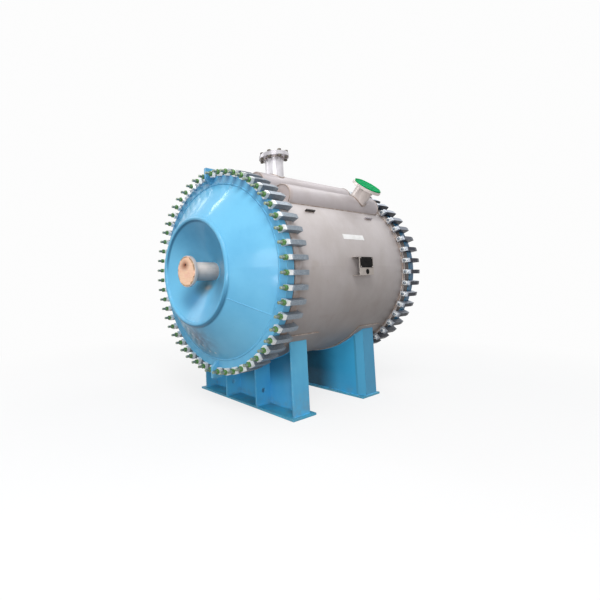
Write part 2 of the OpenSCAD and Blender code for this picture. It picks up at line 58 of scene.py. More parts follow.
# %% [markdown]
# ## Where things are
# The main places are read from the CAD boxes, so a piece that is added here lands on the
# metal it belongs to. The shell gives the axis height and the radius. The covers give the
# faces that the nuts and the welds lie on. What no box shows, such as the crest of the lip
# or the number of bolts, is named where it is first needed.

# %% Main sizes
shell_low, shell_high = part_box("shell")
SHELL_R = (shell_high.x - shell_low.x) / 2
AXIS_Z = (shell_high.z + shell_low.z) / 2
rim_low, rim_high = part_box("front_cover_rim")
RING_R = rim_high.x
RIM_Y = -rim_low.y
RING_Y = -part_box("front_shell_ring")[1].y
cone_low, cone_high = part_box("front_cover_cone")
CONE_R = cone_high.x
LIP_Y = -cone_low.y
print("shell radius", round(SHELL_R, 3), "axis height", round(AXIS_Z, 3), "rim face", round(RIM_Y, 3))

# %% [markdown]
# ## The camera
# The camera stands off the front right corner, a little below the axis, and looks
# slightly up. Its lens is shifted because the machine sits left of the middle of the view.
# Three directions square to each other turn it: backwards, to its right and to its top.

# %% Camera
EYE = (2.694, -2.977, 1.115)
AZIMUTH = math.radians(57.043)
ELEVATION = math.radians(-3.513)
ROLL = math.radians(-1.781)
LENS_MM = 21.82
back = np.array([
    math.sin(AZIMUTH) * math.cos(ELEVATION),
    -math.cos(AZIMUTH) * math.cos(ELEVATION),
    math.sin(ELEVATION),
])
level = np.array([math.cos(AZIMUTH), math.sin(AZIMUTH), 0.0])
upright = np.cross(back, level)
right = math.cos(ROLL) * level + math.sin(ROLL) * upright
up = -math.sin(ROLL) * level + math.cos(ROLL) * upright
camera_data = bpy.data.cameras.new("camera")
camera_data.sensor_width = 36.0
camera_data.lens = LENS_MM
camera_data.shift_x = 0.191
camera_data.shift_y = -0.0597
camera_data.clip_end = 200.0
camera = bpy.data.objects.new("camera", camera_data)
camera.matrix_world = Matrix([
    [right[0], up[0], back[0], EYE[0]],
    [right[1], up[1], back[1], EYE[1]],
    [right[2], up[2], back[2], EYE[2]],
    [0.0, 0.0, 0.0, 1.0],
])
bpy.context.scene.collection.objects.link(camera)
bpy.context.scene.camera = camera
print("camera at", EYE)

# %% [markdown]
# ## Small helpers for materials
# A material is a tree of nodes. A few helpers keep the trees short: they turn a screen
# colour into the light values that a shader wants, add a node, join a socket to another or
# write a plain value in it, and do a sum. What a helper gives back is always an output, so
# that one helper can be put inside another.

# %% Node helpers
def linear(red, green, blue):
    """A screen colour of 0 to 255 as light values: the sRGB curve undone."""
    part = np.array([red, green, blue]) / 255.0
    value = np.where(part <= 0.04045, part / 12.92, ((part + 0.055) / 1.055) ** 2.4)
    return tuple(float(v) for v in value) + (1.0,)


def add(tree, kind, **settings):
    """Add one node to a tree and set its options."""
    node = tree.nodes.new(kind)
    for key, value in settings.items():
        setattr(node, key, value)
    return node


def feed(tree, socket, value):
    """Join a socket to an output, or write a plain value in it."""
    if isinstance(value, bpy.types.NodeSocket):
        tree.links.new(value, socket)
    else:
        socket.default_value = value


def arithmetic(tree, operation, first, second=0.0):
    """One sum on two values: an output or a number each."""
    node = add(tree, "ShaderNodeMath", operation=operation)
    feed(tree, node.inputs[0], first)
    feed(tree, node.inputs[1], second)
    return node.outputs[0]


def times(tree, first, *others):
    """The product of two or more values."""
    for other in others:
        first = arithmetic(tree, "MULTIPLY", first, other)
    return first


print("node helpers ready")

# %% [markdown]
# ## Places on the object
# Most finishes ask where a point is. Object coordinates are the place in the object's own
# frame, in metres, so a pattern made from them stays where it is and keeps its size. A
# stretch draws it out along an axis, which gives the long grain of a rolled plate.

# %% Place helpers
def place_on(tree, stretch=(1.0, 1.0, 1.0)):
    """The position on the object in metres; less than 1 draws a pattern out on that axis."""
    place = add(tree, "ShaderNodeTexCoord")
    mapping = add(tree, "ShaderNodeMapping")
    tree.links.new(place.outputs["Object"], mapping.inputs["Vector"])
    mapping.inputs["Scale"].default_value = stretch
    return mapping.outputs["Vector"]


def axis_place(tree, axis):
    """One coordinate of the position on the object, in metres."""
    place = add(tree, "ShaderNodeTexCoord")
    split = add(tree, "ShaderNodeSeparateXYZ")
    tree.links.new(place.outputs["Object"], split.inputs[0])
    return split.outputs[axis]


def off_middle(tree, axis):
    """The same without its sign: how far a point is to either side of the middle."""
    return arithmetic(tree, "ABSOLUTE", axis_place(tree, axis))


def distance(tree, centre, stretch=(1.0, 1.0, 1.0)):
    """How far a point is from a centre: the length of the way between, stretched."""
    place = add(tree, "ShaderNodeTexCoord")
    away = add(tree, "ShaderNodeVectorMath", operation="SUBTRACT")
    tree.links.new(place.outputs["Object"], away.inputs[0])
    away.inputs[1].default_value = centre
    squeeze = add(tree, "ShaderNodeVectorMath", operation="MULTIPLY")
    tree.links.new(away.outputs[0], squeeze.inputs[0])
    squeeze.inputs[1].default_value = stretch
    length = add(tree, "ShaderNodeVectorMath", operation="LENGTH")
    tree.links.new(squeeze.outputs[0], length.inputs[0])
    return length.outputs["Value"]


print("place helpers ready")

# %% [markdown]
# ## Shares
# A share says how much of a colour a point gets, from 0 to 1. It rises smoothly between two
# places, and its opposite falls between them. Shares are multiplied to be joined, so that a
# mark shows only where all of them are high.

# %% Share helpers
def rising(tree, value, low, high, least=0.0):
    """The least share below the low value, 1 above the high one, an S-shaped rise between."""
    rise = add(tree, "ShaderNodeMapRange", interpolation_type="SMOOTHSTEP")
    feed(tree, rise.inputs["Value"], value)
    rise.inputs["From Min"].default_value = low
    rise.inputs["From Max"].default_value = high
    rise.inputs["To Min"].default_value = least
    return rise.outputs["Result"]


def falling(tree, value, low, high):
    """1 below the low value and 0 above the high one: one minus the rise."""
    return arithmetic(tree, "SUBTRACT", 1.0, rising(tree, value, low, high))


def spot(tree, centre, radius, stretch=(1.0, 1.0, 1.0)):
    """1 at a point, falling to 0 at a radius."""
    return falling(tree, distance(tree, centre, stretch), 0.0, radius)


print("share helpers ready")

# %% [markdown]
# ## Two looks for one surface
# The machine stands in a white studio, but pure white all round would light it flat. So the
# floor and the world look white to the eye and act as something darker on the machine. The
# Light Path node tells which kind of ray asks, and two shaders are mixed by its answer.

# %% Stage helpers
PAGE_WHITE = (0.98, 0.98, 0.98, 1.0)


def stage_sheet(name, half, height):
    """A flat square sheet: the grid of its four corners at one height."""
    mesh = bpy.data.meshes.new(name)
    corners = [(-half, -half, height), (half, -half, height), (half, half, height), (-half, half, height)]
    mesh.from_pydata(corners, [], [(0, 1, 2, 3)])
    sheet = bpy.data.objects.new(name, mesh)
    bpy.context.scene.collection.objects.link(sheet)
    return sheet


def eye_rays(tree):
    """1 for rays that an eye follows: straight, mirrored or through glass."""
    path = add(tree, "ShaderNodeLightPath")
    through = path.outputs["Is Transmission Ray"]
    straight = arithmetic(tree, "MAXIMUM", path.outputs["Is Camera Ray"], through)
    return arithmetic(tree, "MAXIMUM", straight, path.outputs["Is Glossy Ray"])


def plain_shader(tree, kind, colour, strength=None):
    """A shader of one colour."""
    node = add(tree, kind)
    node.inputs["Color"].default_value = colour
    if strength is not None:
        node.inputs["Strength"].default_value = strength
    return node.outputs[0]


def blend(tree, share, first, second):
    """The first shader where the share is 0, the second where it is 1."""
    node = add(tree, "ShaderNodeMixShader")
    feed(tree, node.inputs[0], share)
    tree.links.new(first, node.inputs[1])
    tree.links.new(second, node.inputs[2])
    return node.outputs[0]


print("stage helpers ready")

# %% [markdown]
# ## The studio
# The floor is a wide plain sheet. It is a dull warm grey to the light that bounces from it,
# as a workshop floor is, so that the belly of the drum stays darker than its back. To the
# eye it is white: near the machine a share of the white is real shading, which keeps the
# shadow, and further out it turns to plain white, so no horizon shows. The world behind it
# is white to the eye in the same way, and a weak cool fill to the machine.

# %% Floor and world
FLOOR_HALF = 40.0
FLOOR_DROP = -0.0005
WHITE_NEAR = 0.80
FADE_FROM = 2.2
FADE_TO = 5.0
floor = stage_sheet("floor", FLOOR_HALF, FLOOR_DROP)
floor_look = bpy.data.materials.new("floor_look")
floor_look.use_nodes = True
tree = floor_look.node_tree
tree.nodes.clear()
reach = distance(tree, (0.0, 0.0, 0.0))
fade = rising(tree, reach, FADE_FROM, FADE_TO, WHITE_NEAR)
paper = plain_shader(tree, "ShaderNodeBsdfDiffuse", (0.9, 0.9, 0.9, 1.0))
glow = plain_shader(tree, "ShaderNodeEmission", PAGE_WHITE)
dull = plain_shader(tree, "ShaderNodeBsdfDiffuse", (0.30, 0.27, 0.25, 1.0))
seen = blend(tree, eye_rays(tree), dull, blend(tree, fade, paper, glow))
tree.links.new(seen, add(tree, "ShaderNodeOutputMaterial").inputs[0])
floor.data.materials.append(floor_look)

world = bpy.data.worlds.new("world")
bpy.context.scene.world = world
world.use_nodes = True
tree = world.node_tree
tree.nodes.clear()
fill = plain_shader(tree, "ShaderNodeBackground", (0.93, 0.96, 1.0, 1.0), 0.43)
backdrop = plain_shader(tree, "ShaderNodeBackground", PAGE_WHITE)
seen = blend(tree, eye_rays(tree), fill, backdrop)
tree.links.new(seen, add(tree, "ShaderNodeOutputWorld").inputs[0])
bpy.context.scene.view_settings.view_transform = "Standard"
print("floor and world ready")

# %% [markdown]
# ## The lamps
# The key is a large soft lamp high up in front on the right. It lights the cone and the
# side of the drum, leaves the upper right of the recess in shade and throws the shadow of
# the nozzle down to the left. A weaker lamp in front fills the shade, one behind lifts the
# back of the drum, and a low one on the right lights the bays of the saddles.
# Three small lamps high on the left are like the lamps of a hall: they add hardly any
# light, but each is mirrored in the enamel as a long streak that runs up the cone. A wide
# one beside them is a skylight, whose sheen lies in the bottom of the recess, and a narrow
# upright one far in front on the right draws the bright line on the lip.

# %% Lamps
def lamp(name, place, target, size, watts, length=None):
    """An area lamp at a place, turned to face a target; a length makes it a strip."""
    data = bpy.data.lights.new(name, "AREA")
    data.shape = "SQUARE" if length is None else "RECTANGLE"
    data.size = size
    if length is not None:
        data.size_y = length
    data.energy = watts
    lamp_object = bpy.data.objects.new(name, data)
    direction = Vector(target) - Vector(place)
    lamp_object.rotation_euler = direction.to_track_quat("-Z", "Y").to_euler()
    lamp_object.location = place
    bpy.context.scene.collection.objects.link(lamp_object)


lamp("key", (4.2, -4.1, 7.0), (0.0, -0.6, AXIS_Z), 3.0, 352.0)
lamp("front", (4.2, -5.6, 2.2), (0.0, -0.9, AXIS_Z), 2.0, 80.0)
lamp("rear_top", (1.4, 3.5, 7.0), (0.0, 0.2, AXIS_Z), 3.5, 130.0)
lamp("low_right", (3.4, -4.0, 0.45), (0.0, -0.5, 0.4), 1.4, 46.0, 0.6)
for name, place, watts in (
        ("hall_a", (-3.6, -3.2, 8.5), 32.0),
        ("hall_b", (-5.9, -1.1, 7.2), 8.0),
        ("hall_c", (-6.6, 0.0, 6.3), 4.0)):
    lamp(name, place, (0.0, -1.0, AXIS_Z + 0.6), 0.7, watts)
lamp("skylight", (-6.2, -4.3, 5.3), (0.0, -1.1, AXIS_Z - 0.3), 3.4, 105.0)
lamp("lip_glint", (6.6, -5.95, 3.35), (0.3, -1.1, AXIS_Z), 0.5, 26.0, 1.6)
print("lamps:", [lamp_data.name for lamp_data in bpy.data.lights])

# %% [markdown]
# ## Patterns
# Real metal is never one colour. Soft noise gives its stains and a sharper noise its
# specks. Both are kept as values from 0 to 1, so that they can be a share of a colour, or be
# stretched between a smooth and a matt roughness.

# %% Pattern helpers
def mottle(tree, size, detail=4.0, stretch=(1.0, 1.0, 1.0)):
    """Soft noise from 0 to 1 whose patches are about this many metres across."""
    noise = add(tree, "ShaderNodeTexNoise")
    tree.links.new(place_on(tree, stretch), noise.inputs["Vector"])
    noise.inputs["Scale"].default_value = 1.0 / size
    noise.inputs["Detail"].default_value = detail
    noise.inputs["Roughness"].default_value = 0.6
    return noise.outputs["Fac"]


def span(tree, value, low, high):
    """A 0 to 1 value stretched in a straight line between two others."""
    rise = add(tree, "ShaderNodeMapRange")
    feed(tree, rise.inputs["Value"], value)
    rise.inputs["To Min"].default_value = low
    rise.inputs["To Max"].default_value = high
    return rise.outputs["Result"]


def paint_over(tree, share, under, over, way="MIX"):
    """Lay one colour over another where the share is 1, or multiply them there."""
    mix = add(tree, "ShaderNodeMix", data_type="RGBA", blend_type=way)
    feed(tree, mix.inputs[0], share)
    feed(tree, mix.inputs[6], under)
    feed(tree, mix.inputs[7], over)
    return mix.outputs[2]


print("pattern helpers ready")

# %% [markdown]
# ## Hills and edges
# Small hills tilt the light without any new faces. Real edges are never sharp and catch a
# line of light, which a bevel of the shading direction gives. Where that direction leaves
# the true one a point must be on an edge, so the same bevel also finds worn edges.

# %% Hill and edge helpers
def hills(tree, layers, normal=None):
    """Stack bump layers, each a height from 0 to 1 and its depth in metres."""
    for height, depth in layers:
        bump = add(tree, "ShaderNodeBump")
        bump.inputs["Strength"].default_value = 1.0
        bump.inputs["Distance"].default_value = depth
        tree.links.new(height, bump.inputs["Height"])
        if normal is not None:
            tree.links.new(normal, bump.inputs["Normal"])
        normal = bump.outputs["Normal"]
    return normal


def rounded(tree, radius):
    """The surface direction with every sharp edge rolled over by this radius."""
    bevel = add(tree, "ShaderNodeBevel", samples=6)
    bevel.inputs["Radius"].default_value = radius
    return bevel.outputs["Normal"]


def edge_mask(tree, radius):
    """1 on edges: one minus the dot product of the rolled and the true direction."""
    shape = add(tree, "ShaderNodeNewGeometry")
    dot = add(tree, "ShaderNodeVectorMath", operation="DOT_PRODUCT")
    tree.links.new(rounded(tree, radius), dot.inputs[0])
    tree.links.new(shape.outputs["Normal"], dot.inputs[1])
    return rising(tree, arithmetic(tree, "SUBTRACT", 1.0, dot.outputs["Value"]), 0.02, 0.20)


print("hill and edge helpers ready")

# %% [markdown]
# ## A book of finishes
# Each finish is kept by its name, so that one can be made once and used on many pieces.
# A finished one can still get a mark of its own: the last colour of its tree is taken off
# the shader, painted over with a share, and joined to the shader again.

# %% Finish book
LOOKS = {}


def new_look(name):
    """A new material in the book: its tree and its main shader."""
    look = bpy.data.materials.new(name)
    look.use_nodes = True
    LOOKS[name] = look
    return look.node_tree, look.node_tree.nodes["Principled BSDF"]


def set_look(tree, shader, colour, roughness, metallic, normal):
    """Give the shader its colour, its roughness, its share of metal and its hills."""
    feed(tree, shader.inputs["Base Color"], colour)
    feed(tree, shader.inputs["Roughness"], roughness)
    shader.inputs["Metallic"].default_value = metallic
    tree.links.new(normal, shader.inputs["Normal"])


def repaint(name, share_of, over, way="MIX"):
    """One more colour on a finish; its share is worked out in the finish's own tree."""
    tree = LOOKS[name].node_tree
    base = tree.nodes["Principled BSDF"].inputs["Base Color"]
    feed(tree, base, paint_over(tree, share_of(tree), base.links[0].from_socket, over, way))


print("finish book open")

# %% [markdown]
# ## Marks that go round the covers
# The covers are round, so most of their marks are too: they ask how far a point is from
# the axis, and at which turn round it. Painted shade of the nuts and hooks lies in stripes
# on the rim, which a cosine of the turn repeats once for every bolt.

# %% Round places and painted nut shade
BOLT_COUNT = 52


def round_axis(tree):
    """How far a point is to the right of the axis, above it, and away from it."""
    across = axis_place(tree, 0)
    above = arithmetic(tree, "SUBTRACT", axis_place(tree, 2), AXIS_Z)
    square = times(tree, across, across)
    square = arithmetic(tree, "ADD", square, times(tree, above, above))
    return across, above, arithmetic(tree, "SQRT", square)


def outer_edge(depth):
    """Painted shade on the outermost skin of a ring, which begins this deep in it."""
    return lambda tree: times(tree, rising(tree, round_axis(tree)[2], RING_R - depth, RING_R - 0.001), 0.85)


def near_circle(tree, reach, radius, low, high):
    """1 near a circle round the axis, 0 away from it on either side."""
    off = arithmetic(tree, "ABSOLUTE", arithmetic(tree, "SUBTRACT", reach, radius))
    return falling(tree, off, low, high)


def nut_oil(tree):
    """Painted shade of the nuts and hooks on the rim face, more of it higher up: stripes, 0.5 - 0.5 cos(bolts
    x turn).
    """
    across, above, reach = round_axis(tree)
    turn = arithmetic(tree, "ARCTAN2", across, above)
    wave = arithmetic(tree, "COSINE", times(tree, turn, float(BOLT_COUNT)))
    wave = arithmetic(tree, "ADD", 0.5, times(tree, wave, -0.5))
    ragged = arithmetic(tree, "ADD", reach, times(tree, mottle(tree, 0.02), 0.03))
    inward = rising(tree, ragged, CONE_R - 0.045, CONE_R + 0.090)
    face = rising(tree, off_middle(tree, 1), RIM_Y - 0.008, RIM_Y - 0.001)
    upper = span(tree, rising(tree, above, 0.10, 0.60), 0.15, 1.0)
    return times(tree, span(tree, wave, 0.35, 1.0), inward, face, upper, 0.85)


print("oil beside", BOLT_COUNT, "nuts")

# %% [markdown]
# ## Painted shade in the dish
# Painted shade lies in the top half of the dish, which faces away from the key lamp, and thin
# lines of painted shade lie in the foot of the lip, inside it at the top and outside it at the
# bottom, where its flanks face down. Each is a ring cut off by a slanting line, which is a sum of the ways
# across and up.

# %% Painted dish and lip shade
LIP_R = 0.474
FILM_EDGE = LIP_R - 0.004
DIRT_OUTSIDE = LIP_R + 0.017
DIRT_INSIDE = LIP_R - 0.024


def dish_film(tree):
    """Painted shade inside the lip, only where above + 0.4 x across is positive."""
    across, above, reach = round_axis(tree)
    inside = falling(tree, reach, FILM_EDGE - 0.025, FILM_EDGE)
    slant = arithmetic(tree, "ADD", above, times(tree, across, 0.4))
    return times(tree, inside, rising(tree, slant, -0.06, 0.34), span(tree, mottle(tree, 0.12), 0.30, 0.75))


def lip_dirt(tree):
    """Painted shade in thin lines at the foot of the lip: inside at the upper left, outside at the lower
    right.
    """
    across, above, reach = round_axis(tree)
    lower = arithmetic(tree, "SUBTRACT", times(tree, across, 0.35), above)
    outer = times(tree, near_circle(tree, reach, DIRT_OUTSIDE, 0.006, 0.020), rising(tree, lower, 0.20, 0.42))
    upper = arithmetic(tree, "SUBTRACT", above, times(tree, across, 0.6))
    inner = times(tree, near_circle(tree, reach, DIRT_INSIDE, 0.003, 0.014), rising(tree, upper, 0.25, 0.42))
    return times(tree, arithmetic(tree, "MAXIMUM", outer, inner), 0.75)


print("film inside", round(FILM_EDGE, 3), "dirt at", round(DIRT_INSIDE, 3), "and", round(DIRT_OUTSIDE, 3))

# %% [markdown]
# ## Painted shade and glints on the cone
# Low on the front cone a dark blue grey patch is painted shade and floor reflection, with pale
# scratches in it, and a row of pale spots beside it are painted glints of the studs. A spot is the simplest
# mark: it only asks how far away its centre is, so each glint needs only a place on the skin of the cone.

# %% Painted low shade and glints
SMEAR_AT = (-0.10, -1.04, AXIS_Z - 0.61)
DROPS = ((-0.191, -1.101, AXIS_Z - 0.525), (-0.165, -1.069, AXIS_Z - 0.577),
         (-0.133, -1.038, AXIS_Z - 0.626), (-0.096, -1.000, AXIS_Z - 0.683),
         (-0.039, -0.966, AXIS_Z - 0.734), (0.039, -0.962, AXIS_Z - 0.739))
DROP_R = 0.022


def smear(tree):
    """Painted shade and floor reflection: a dark patch, broken up by soft noise."""
    patch = spot(tree, SMEAR_AT, 0.33, (1.0, 0.8, 1.2))
    return times(tree, patch, rising(tree, mottle(tree, 0.06, 6.0), 0.25, 0.62), 0.85)


def scratches(tree):
    """Noise drawn out into upright lines, in the middle of the painted dark patch."""
    lines = rising(tree, mottle(tree, 0.02, 3.0, (1.0, 1.0, 0.12)), 0.63, 0.68)
    return times(tree, lines, spot(tree, SMEAR_AT, 0.26, (1.0, 0.8, 1.0)), 0.3)


def drop(place):
    """The share of one painted glint, a small pale spot where a stud is mirrored."""
    return lambda tree: times(tree, spot(tree, place, DROP_R), 0.7)


print("dried drops:", len(DROPS))

# %% [markdown]
# ## Painted shadows at the root of the nozzle
# Painted shadow darkens the dish under the nozzle pipe, with a wider painted shadow of its flange
# below it, and a rusty scuff lies in it. All the marks of the covers then go into one list, each with its
# colour. The order counts, because a later mark is laid over an earlier one.

# %% Painted shadows and the list of marks
ROOT_AT = (-0.075, -0.960, AXIS_Z - 0.135)
BLOT_AT = (-0.152, -1.044, AXIS_Z - 0.244)
SCUFF_AT = (-0.030, -0.955, AXIS_Z - 0.150)


def blot(tree):
    """Painted shadow of the nozzle's flange: a deeper blue in the dish, below the pipe's root."""
    return times(tree, spot(tree, BLOT_AT, 0.17, (1.0, 0.7, 1.0)), 0.55)


def root_grease(tree):
    """Painted shadow under the nozzle pipe, at its root, a little patchy."""
    return times(tree, spot(tree, ROOT_AT, 0.15, (1.0, 0.7, 1.0)), span(tree, mottle(tree, 0.05), 0.65, 1.0))


def scuff(tree):
    """A small rusty mark, lying on its side."""
    return times(tree, spot(tree, SCUFF_AT, 0.06, (0.8, 0.6, 1.6)), 0.6)


# Most marks in this list are painted light: the dark low patch and the pale row of spots on the cone, the
# dark spots in the dish, the stripes by the nuts and the shade in the dish and at the lip are painted shade,
# shadow and glints; the scratches and the scuff are real wear.
COVER_MARKS = [
    (smear, linear(52, 78, 112)),
    (scratches, linear(176, 176, 178)),
    *[(drop(place), linear(196, 208, 214)) for place in DROPS],
    (blot, linear(58, 136, 188)),
    (root_grease, linear(20, 62, 72)),
    (scuff, linear(150, 130, 110)),
    (nut_oil, linear(44, 112, 160)),
    (dish_film, linear(50, 128, 172)),
    (lip_dirt, linear(36, 96, 132)),
]
print("marks on the covers:", len(COVER_MARKS))

# %% [markdown]
# ## Blue enamel
# The covers and the saddles are sprayed with a semi-gloss blue enamel. It has a fine orange
# peel, slightly cloudy colour, pale rubbed edges, a few dark specks and dust near the
# floor. A thin clear coat gives the crisp highlights. One function makes every blue, so
# the parts match, and a part that gets painted light or shade has its own two, lighter or darker.

# %% Enamel
def blue_enamel(name, main, deep, roughness, dust, marks=()):
    """Two blues by noise, then rubbed edges, specks, the marks and dust up to a height."""
    tree, shader = new_look(name)
    colour = paint_over(tree, rising(tree, mottle(tree, 0.5, 5.0), 0.35, 0.75), main, deep)
    rubbed = times(tree, edge_mask(tree, 0.003), rising(tree, mottle(tree, 0.03), 0.4, 0.6), 0.55)
    colour = paint_over(tree, rubbed, colour, linear(196, 206, 208))
    specks = times(tree, rising(tree, mottle(tree, 0.012, 2.0), 0.74, 0.78), 0.5)
    colour = paint_over(tree, specks, colour, linear(60, 80, 95))
    for share_of, over in marks:
        colour = paint_over(tree, share_of(tree), colour, over)
    low = falling(tree, axis_place(tree, 2), 0.02, dust)
    dirt = times(tree, low, rising(tree, mottle(tree, 0.08, 6.0), 0.35, 0.7), 0.35)
    colour = paint_over(tree, dirt, colour, linear(118, 120, 118))
    matt = span(tree, mottle(tree, 0.15, 5.0), roughness - 0.06, roughness + 0.10)
    peel = (mottle(tree, 0.004, 2.0), 0.00012)
    sag = (mottle(tree, 0.12, 3.0), 0.0012)
    set_look(tree, shader, colour, matt, 0.0, hills(tree, [peel, sag], rounded(tree, 0.003)))
    shader.inputs["Specular IOR Level"].default_value = 0.14
    shader.inputs["Coat Weight"].default_value = 0.28
    shader.inputs["Coat Roughness"].default_value = 0.10


blue_enamel("cover_paint", linear(109, 183, 219), linear(95, 170, 210), 0.34, 0.50, COVER_MARKS)
# Lighter and darker copies of the blue, as painted light and shade: the rear rim, bases and webs are painted
# darker as shade, and the ribs brighter as painted bounce light.
for name, main, deep, roughness, dust in (
        ("shaded_rear_rim_paint", (100, 176, 214), (86, 160, 202), 0.40, 0.12),
        ("saddle_paint", (84, 186, 232), (66, 166, 218), 0.46, 0.35),
        ("bay_lit_paint", (92, 188, 232), (76, 172, 222), 0.46, 0.12),
        ("shaded_base_paint", (74, 172, 204), (58, 154, 188), 0.46, 0.06),
        ("end_paint", (94, 182, 219), (78, 164, 208), 0.46, 0.30),
        ("shaded_front_web_paint", (90, 182, 226), (74, 166, 216), 0.46, 0.12),
        ("shaded_rear_web_paint", (66, 172, 220), (52, 156, 208), 0.46, 0.12)):
    blue_enamel(name, linear(*main), linear(*deep), roughness, dust)
print("enamels:", sorted(LOOKS))

# %% [markdown]
# ## Painted shade on the saddles and the rear rim
# Painted shade darkens the webs where the drum and its hooks hang over them. The middle of the rear
# web is painted nearly black as the shadow of the drum and the front saddle, its bent corners get
# painted shading, and the rear end plates painted shade. The outer edge of the rear rim, between the hooks,
# gets painted shade too.

# %% Painted saddle and rim shade
WEB_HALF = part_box("rear_saddle_web")[1].x


def web_oil(tree):
    """Painted shadow in the middle third of the rear web, patchy."""
    cloud = span(tree, mottle(tree, 0.10), 0.70, 1.0)
    return times(tree, falling(tree, off_middle(tree, 0), 0.12, 0.40), cloud)


def web_corner(tree):
    """Painted shading on the bent corners at both ends of the rear web."""
    return times(tree, rising(tree, off_middle(tree, 0), WEB_HALF - 0.075, WEB_HALF - 0.065), 0.8)


def dull_end(tree):
    """Painted shade on the end plates of the rear saddle: the share rises from the front to the rear."""
    return times(tree, rising(tree, axis_place(tree, 1), -0.1, 0.1), 0.8)


def under_drum(tree):
    """Painted shade under the drum and its hooks: falls with the distance from the drum's axis."""
    return times(tree, falling(tree, round_axis(tree)[2], RING_R + 0.051, RING_R + 0.251), 0.75)


# Painted shadow, shading and shade on the rear web, the front web, the rear end plates and the rear rim's
# outer edge.
repaint("shaded_rear_web_paint", web_oil, linear(26, 66, 84))
repaint("shaded_rear_web_paint", web_corner, linear(72, 150, 186))
repaint("shaded_front_web_paint", under_drum, linear(24, 84, 118))
repaint("end_paint", dull_end, linear(60, 146, 188))
repaint("shaded_rear_rim_paint", outer_edge(0.003), linear(44, 96, 134))
print("grime added; the rear web reaches", round(WEB_HALF, 3), "to each side")

# %% [markdown]
# ## Plate steel of the drum
# The drum is rolled from pickled stainless plate: a matt, warm grey with long faint bands
# round it from the rolls, cloudy patches from the acid and a few darker rub marks. It is
# partly metal in the shader, because a thin matt skin covers the bright steel. Every part
# that is made of such plate gets its own two greys, roughness and amount of stain.

# %% Pickled plate
def pickled_plate(name, main, deep, metallic, roughness, roll_way, stain, rolled_share=0.22):
    """Two greys by stretched noise, brown stains by soft noise, fine grain as hills."""
    tree, shader = new_look(name)
    colour = paint_over(tree, rising(tree, mottle(tree, 0.35, 6.0), 0.35, 0.70), linear(*main), linear(*deep))
    rolled = times(tree, rising(tree, mottle(tree, 0.02, 3.0, roll_way), 0.45, 0.75), rolled_share)
    colour = paint_over(tree, rolled, colour, linear(*deep))
    brown = times(tree, rising(tree, mottle(tree, 0.22, 7.0), 0.58, 0.80), stain)
    colour = paint_over(tree, brown, colour, linear(140, 124, 110))
    bright = times(tree, edge_mask(tree, 0.002), 0.5)
    colour = paint_over(tree, bright, colour, linear(225, 222, 218))
    matt = span(tree, mottle(tree, 0.09, 6.0), roughness - 0.08, roughness + 0.10)
    grain = (mottle(tree, 0.003, 2.0), 0.00008)
    dents = (mottle(tree, 0.35, 2.0), 0.0008)
    set_look(tree, shader, colour, matt, metallic, hills(tree, [grain, dents], rounded(tree, 0.002)))
    shader.inputs["Specular IOR Level"].default_value = 0.25


print("pickled plate ready")

# %% [markdown]
# ## The drum and the rear ring
# The upper half of the drum gets painted light and the belly painted shade, so its colour is
# multiplied by one that is a function of the height. Beside the bolting rings brown spots of
# painted shadow lie where the hooks shade the drum. The rear ring gets painted shade on its outer edge,
# between the hooks.

# %% Drum and ring steel
BELLY = (0.70, 0.70, 0.70, 1.0)
BACK = (1.28, 1.28, 1.29, 1.0)
for name in ("shell_steel", "rear_ring_steel"):
    pickled_plate(name, (176, 170, 169), (166, 159, 156), 0.10, 0.50, (0.15, 1.0, 0.15), 0.30)


def heat_spots(tree):
    """Painted shadow of the hooks: brown spots beside the bolting rings, where soft noise is high."""
    near_ring = rising(tree, off_middle(tree, 1), RING_Y - 0.075, RING_Y + 0.02)
    return times(tree, near_ring, rising(tree, mottle(tree, 0.05), 0.40, 0.62), 0.5)


# Painted light and shade: the drum's colour is multiplied up on its top and down on its belly.
tree = LOOKS["shell_steel"].node_tree
height = rising(tree, axis_place(tree, 2), AXIS_Z - 0.70, AXIS_Z + 0.45)
repaint("shell_steel", lambda _: 1.0, paint_over(tree, height, BELLY, BACK), "MULTIPLY")
repaint("shell_steel", heat_spots, linear(150, 124, 108))
# Painted shade on the outer edge of the rear ring, between the hooks.
repaint("rear_ring_steel", outer_edge(0.004), linear(84, 76, 72))
print("drum steel ready")

# %% [markdown]
# ## Headers, nozzles and small fittings
# The half pipes and the nozzles are the same steel, a little paler and pinker from the
# acid. Their grain runs along the pipes. The front end plates of the headers have a straw
# and brown heat tint beside the weld, which is a function of the distance along the drum.
# The front pipe gets painted shade underneath, and the small lugs near the front are painted black as shade.

# %% Header, nozzle and fitting steel
HEADER_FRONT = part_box("side_header")[0].y
EVEN = (0.5, 0.5, 0.5)
pickled_plate("header_steel", (191, 184, 186), (182, 174, 174), 0.10, 0.46, (1.0, 0.12, 1.0), 0.18)
pickled_plate("nozzle_steel", (214, 206, 202), (200, 190, 186), 0.40, 0.34, EVEN, 0.12)
pickled_plate("front_pipe_steel", (244, 225, 212), (204, 188, 178), 0.20, 0.34, (1.2, 0.06, 1.2), 0.10, 0.8)
pickled_plate("bright_nozzle", (228, 226, 230), (176, 173, 177), 0.40, 0.30, (1.2, 1.2, 0.06), 0.04, 0.9)
pickled_plate("fitting_steel", (178, 170, 164), (150, 141, 135), 0.35, 0.45, EVEN, 0.35)
pickled_plate("lug_steel", (176, 172, 178), (160, 154, 158), 0.25, 0.50, EVEN, 0.10)


def heat_tint(tree):
    """Straw and brown on the front end plates, patchy, gone after a few centimetres."""
    near_end = falling(tree, axis_place(tree, 1), HEADER_FRONT + 0.012, HEADER_FRONT + 0.045)
    return times(tree, near_end, span(tree, mottle(tree, 0.03), 0.05, 0.30))


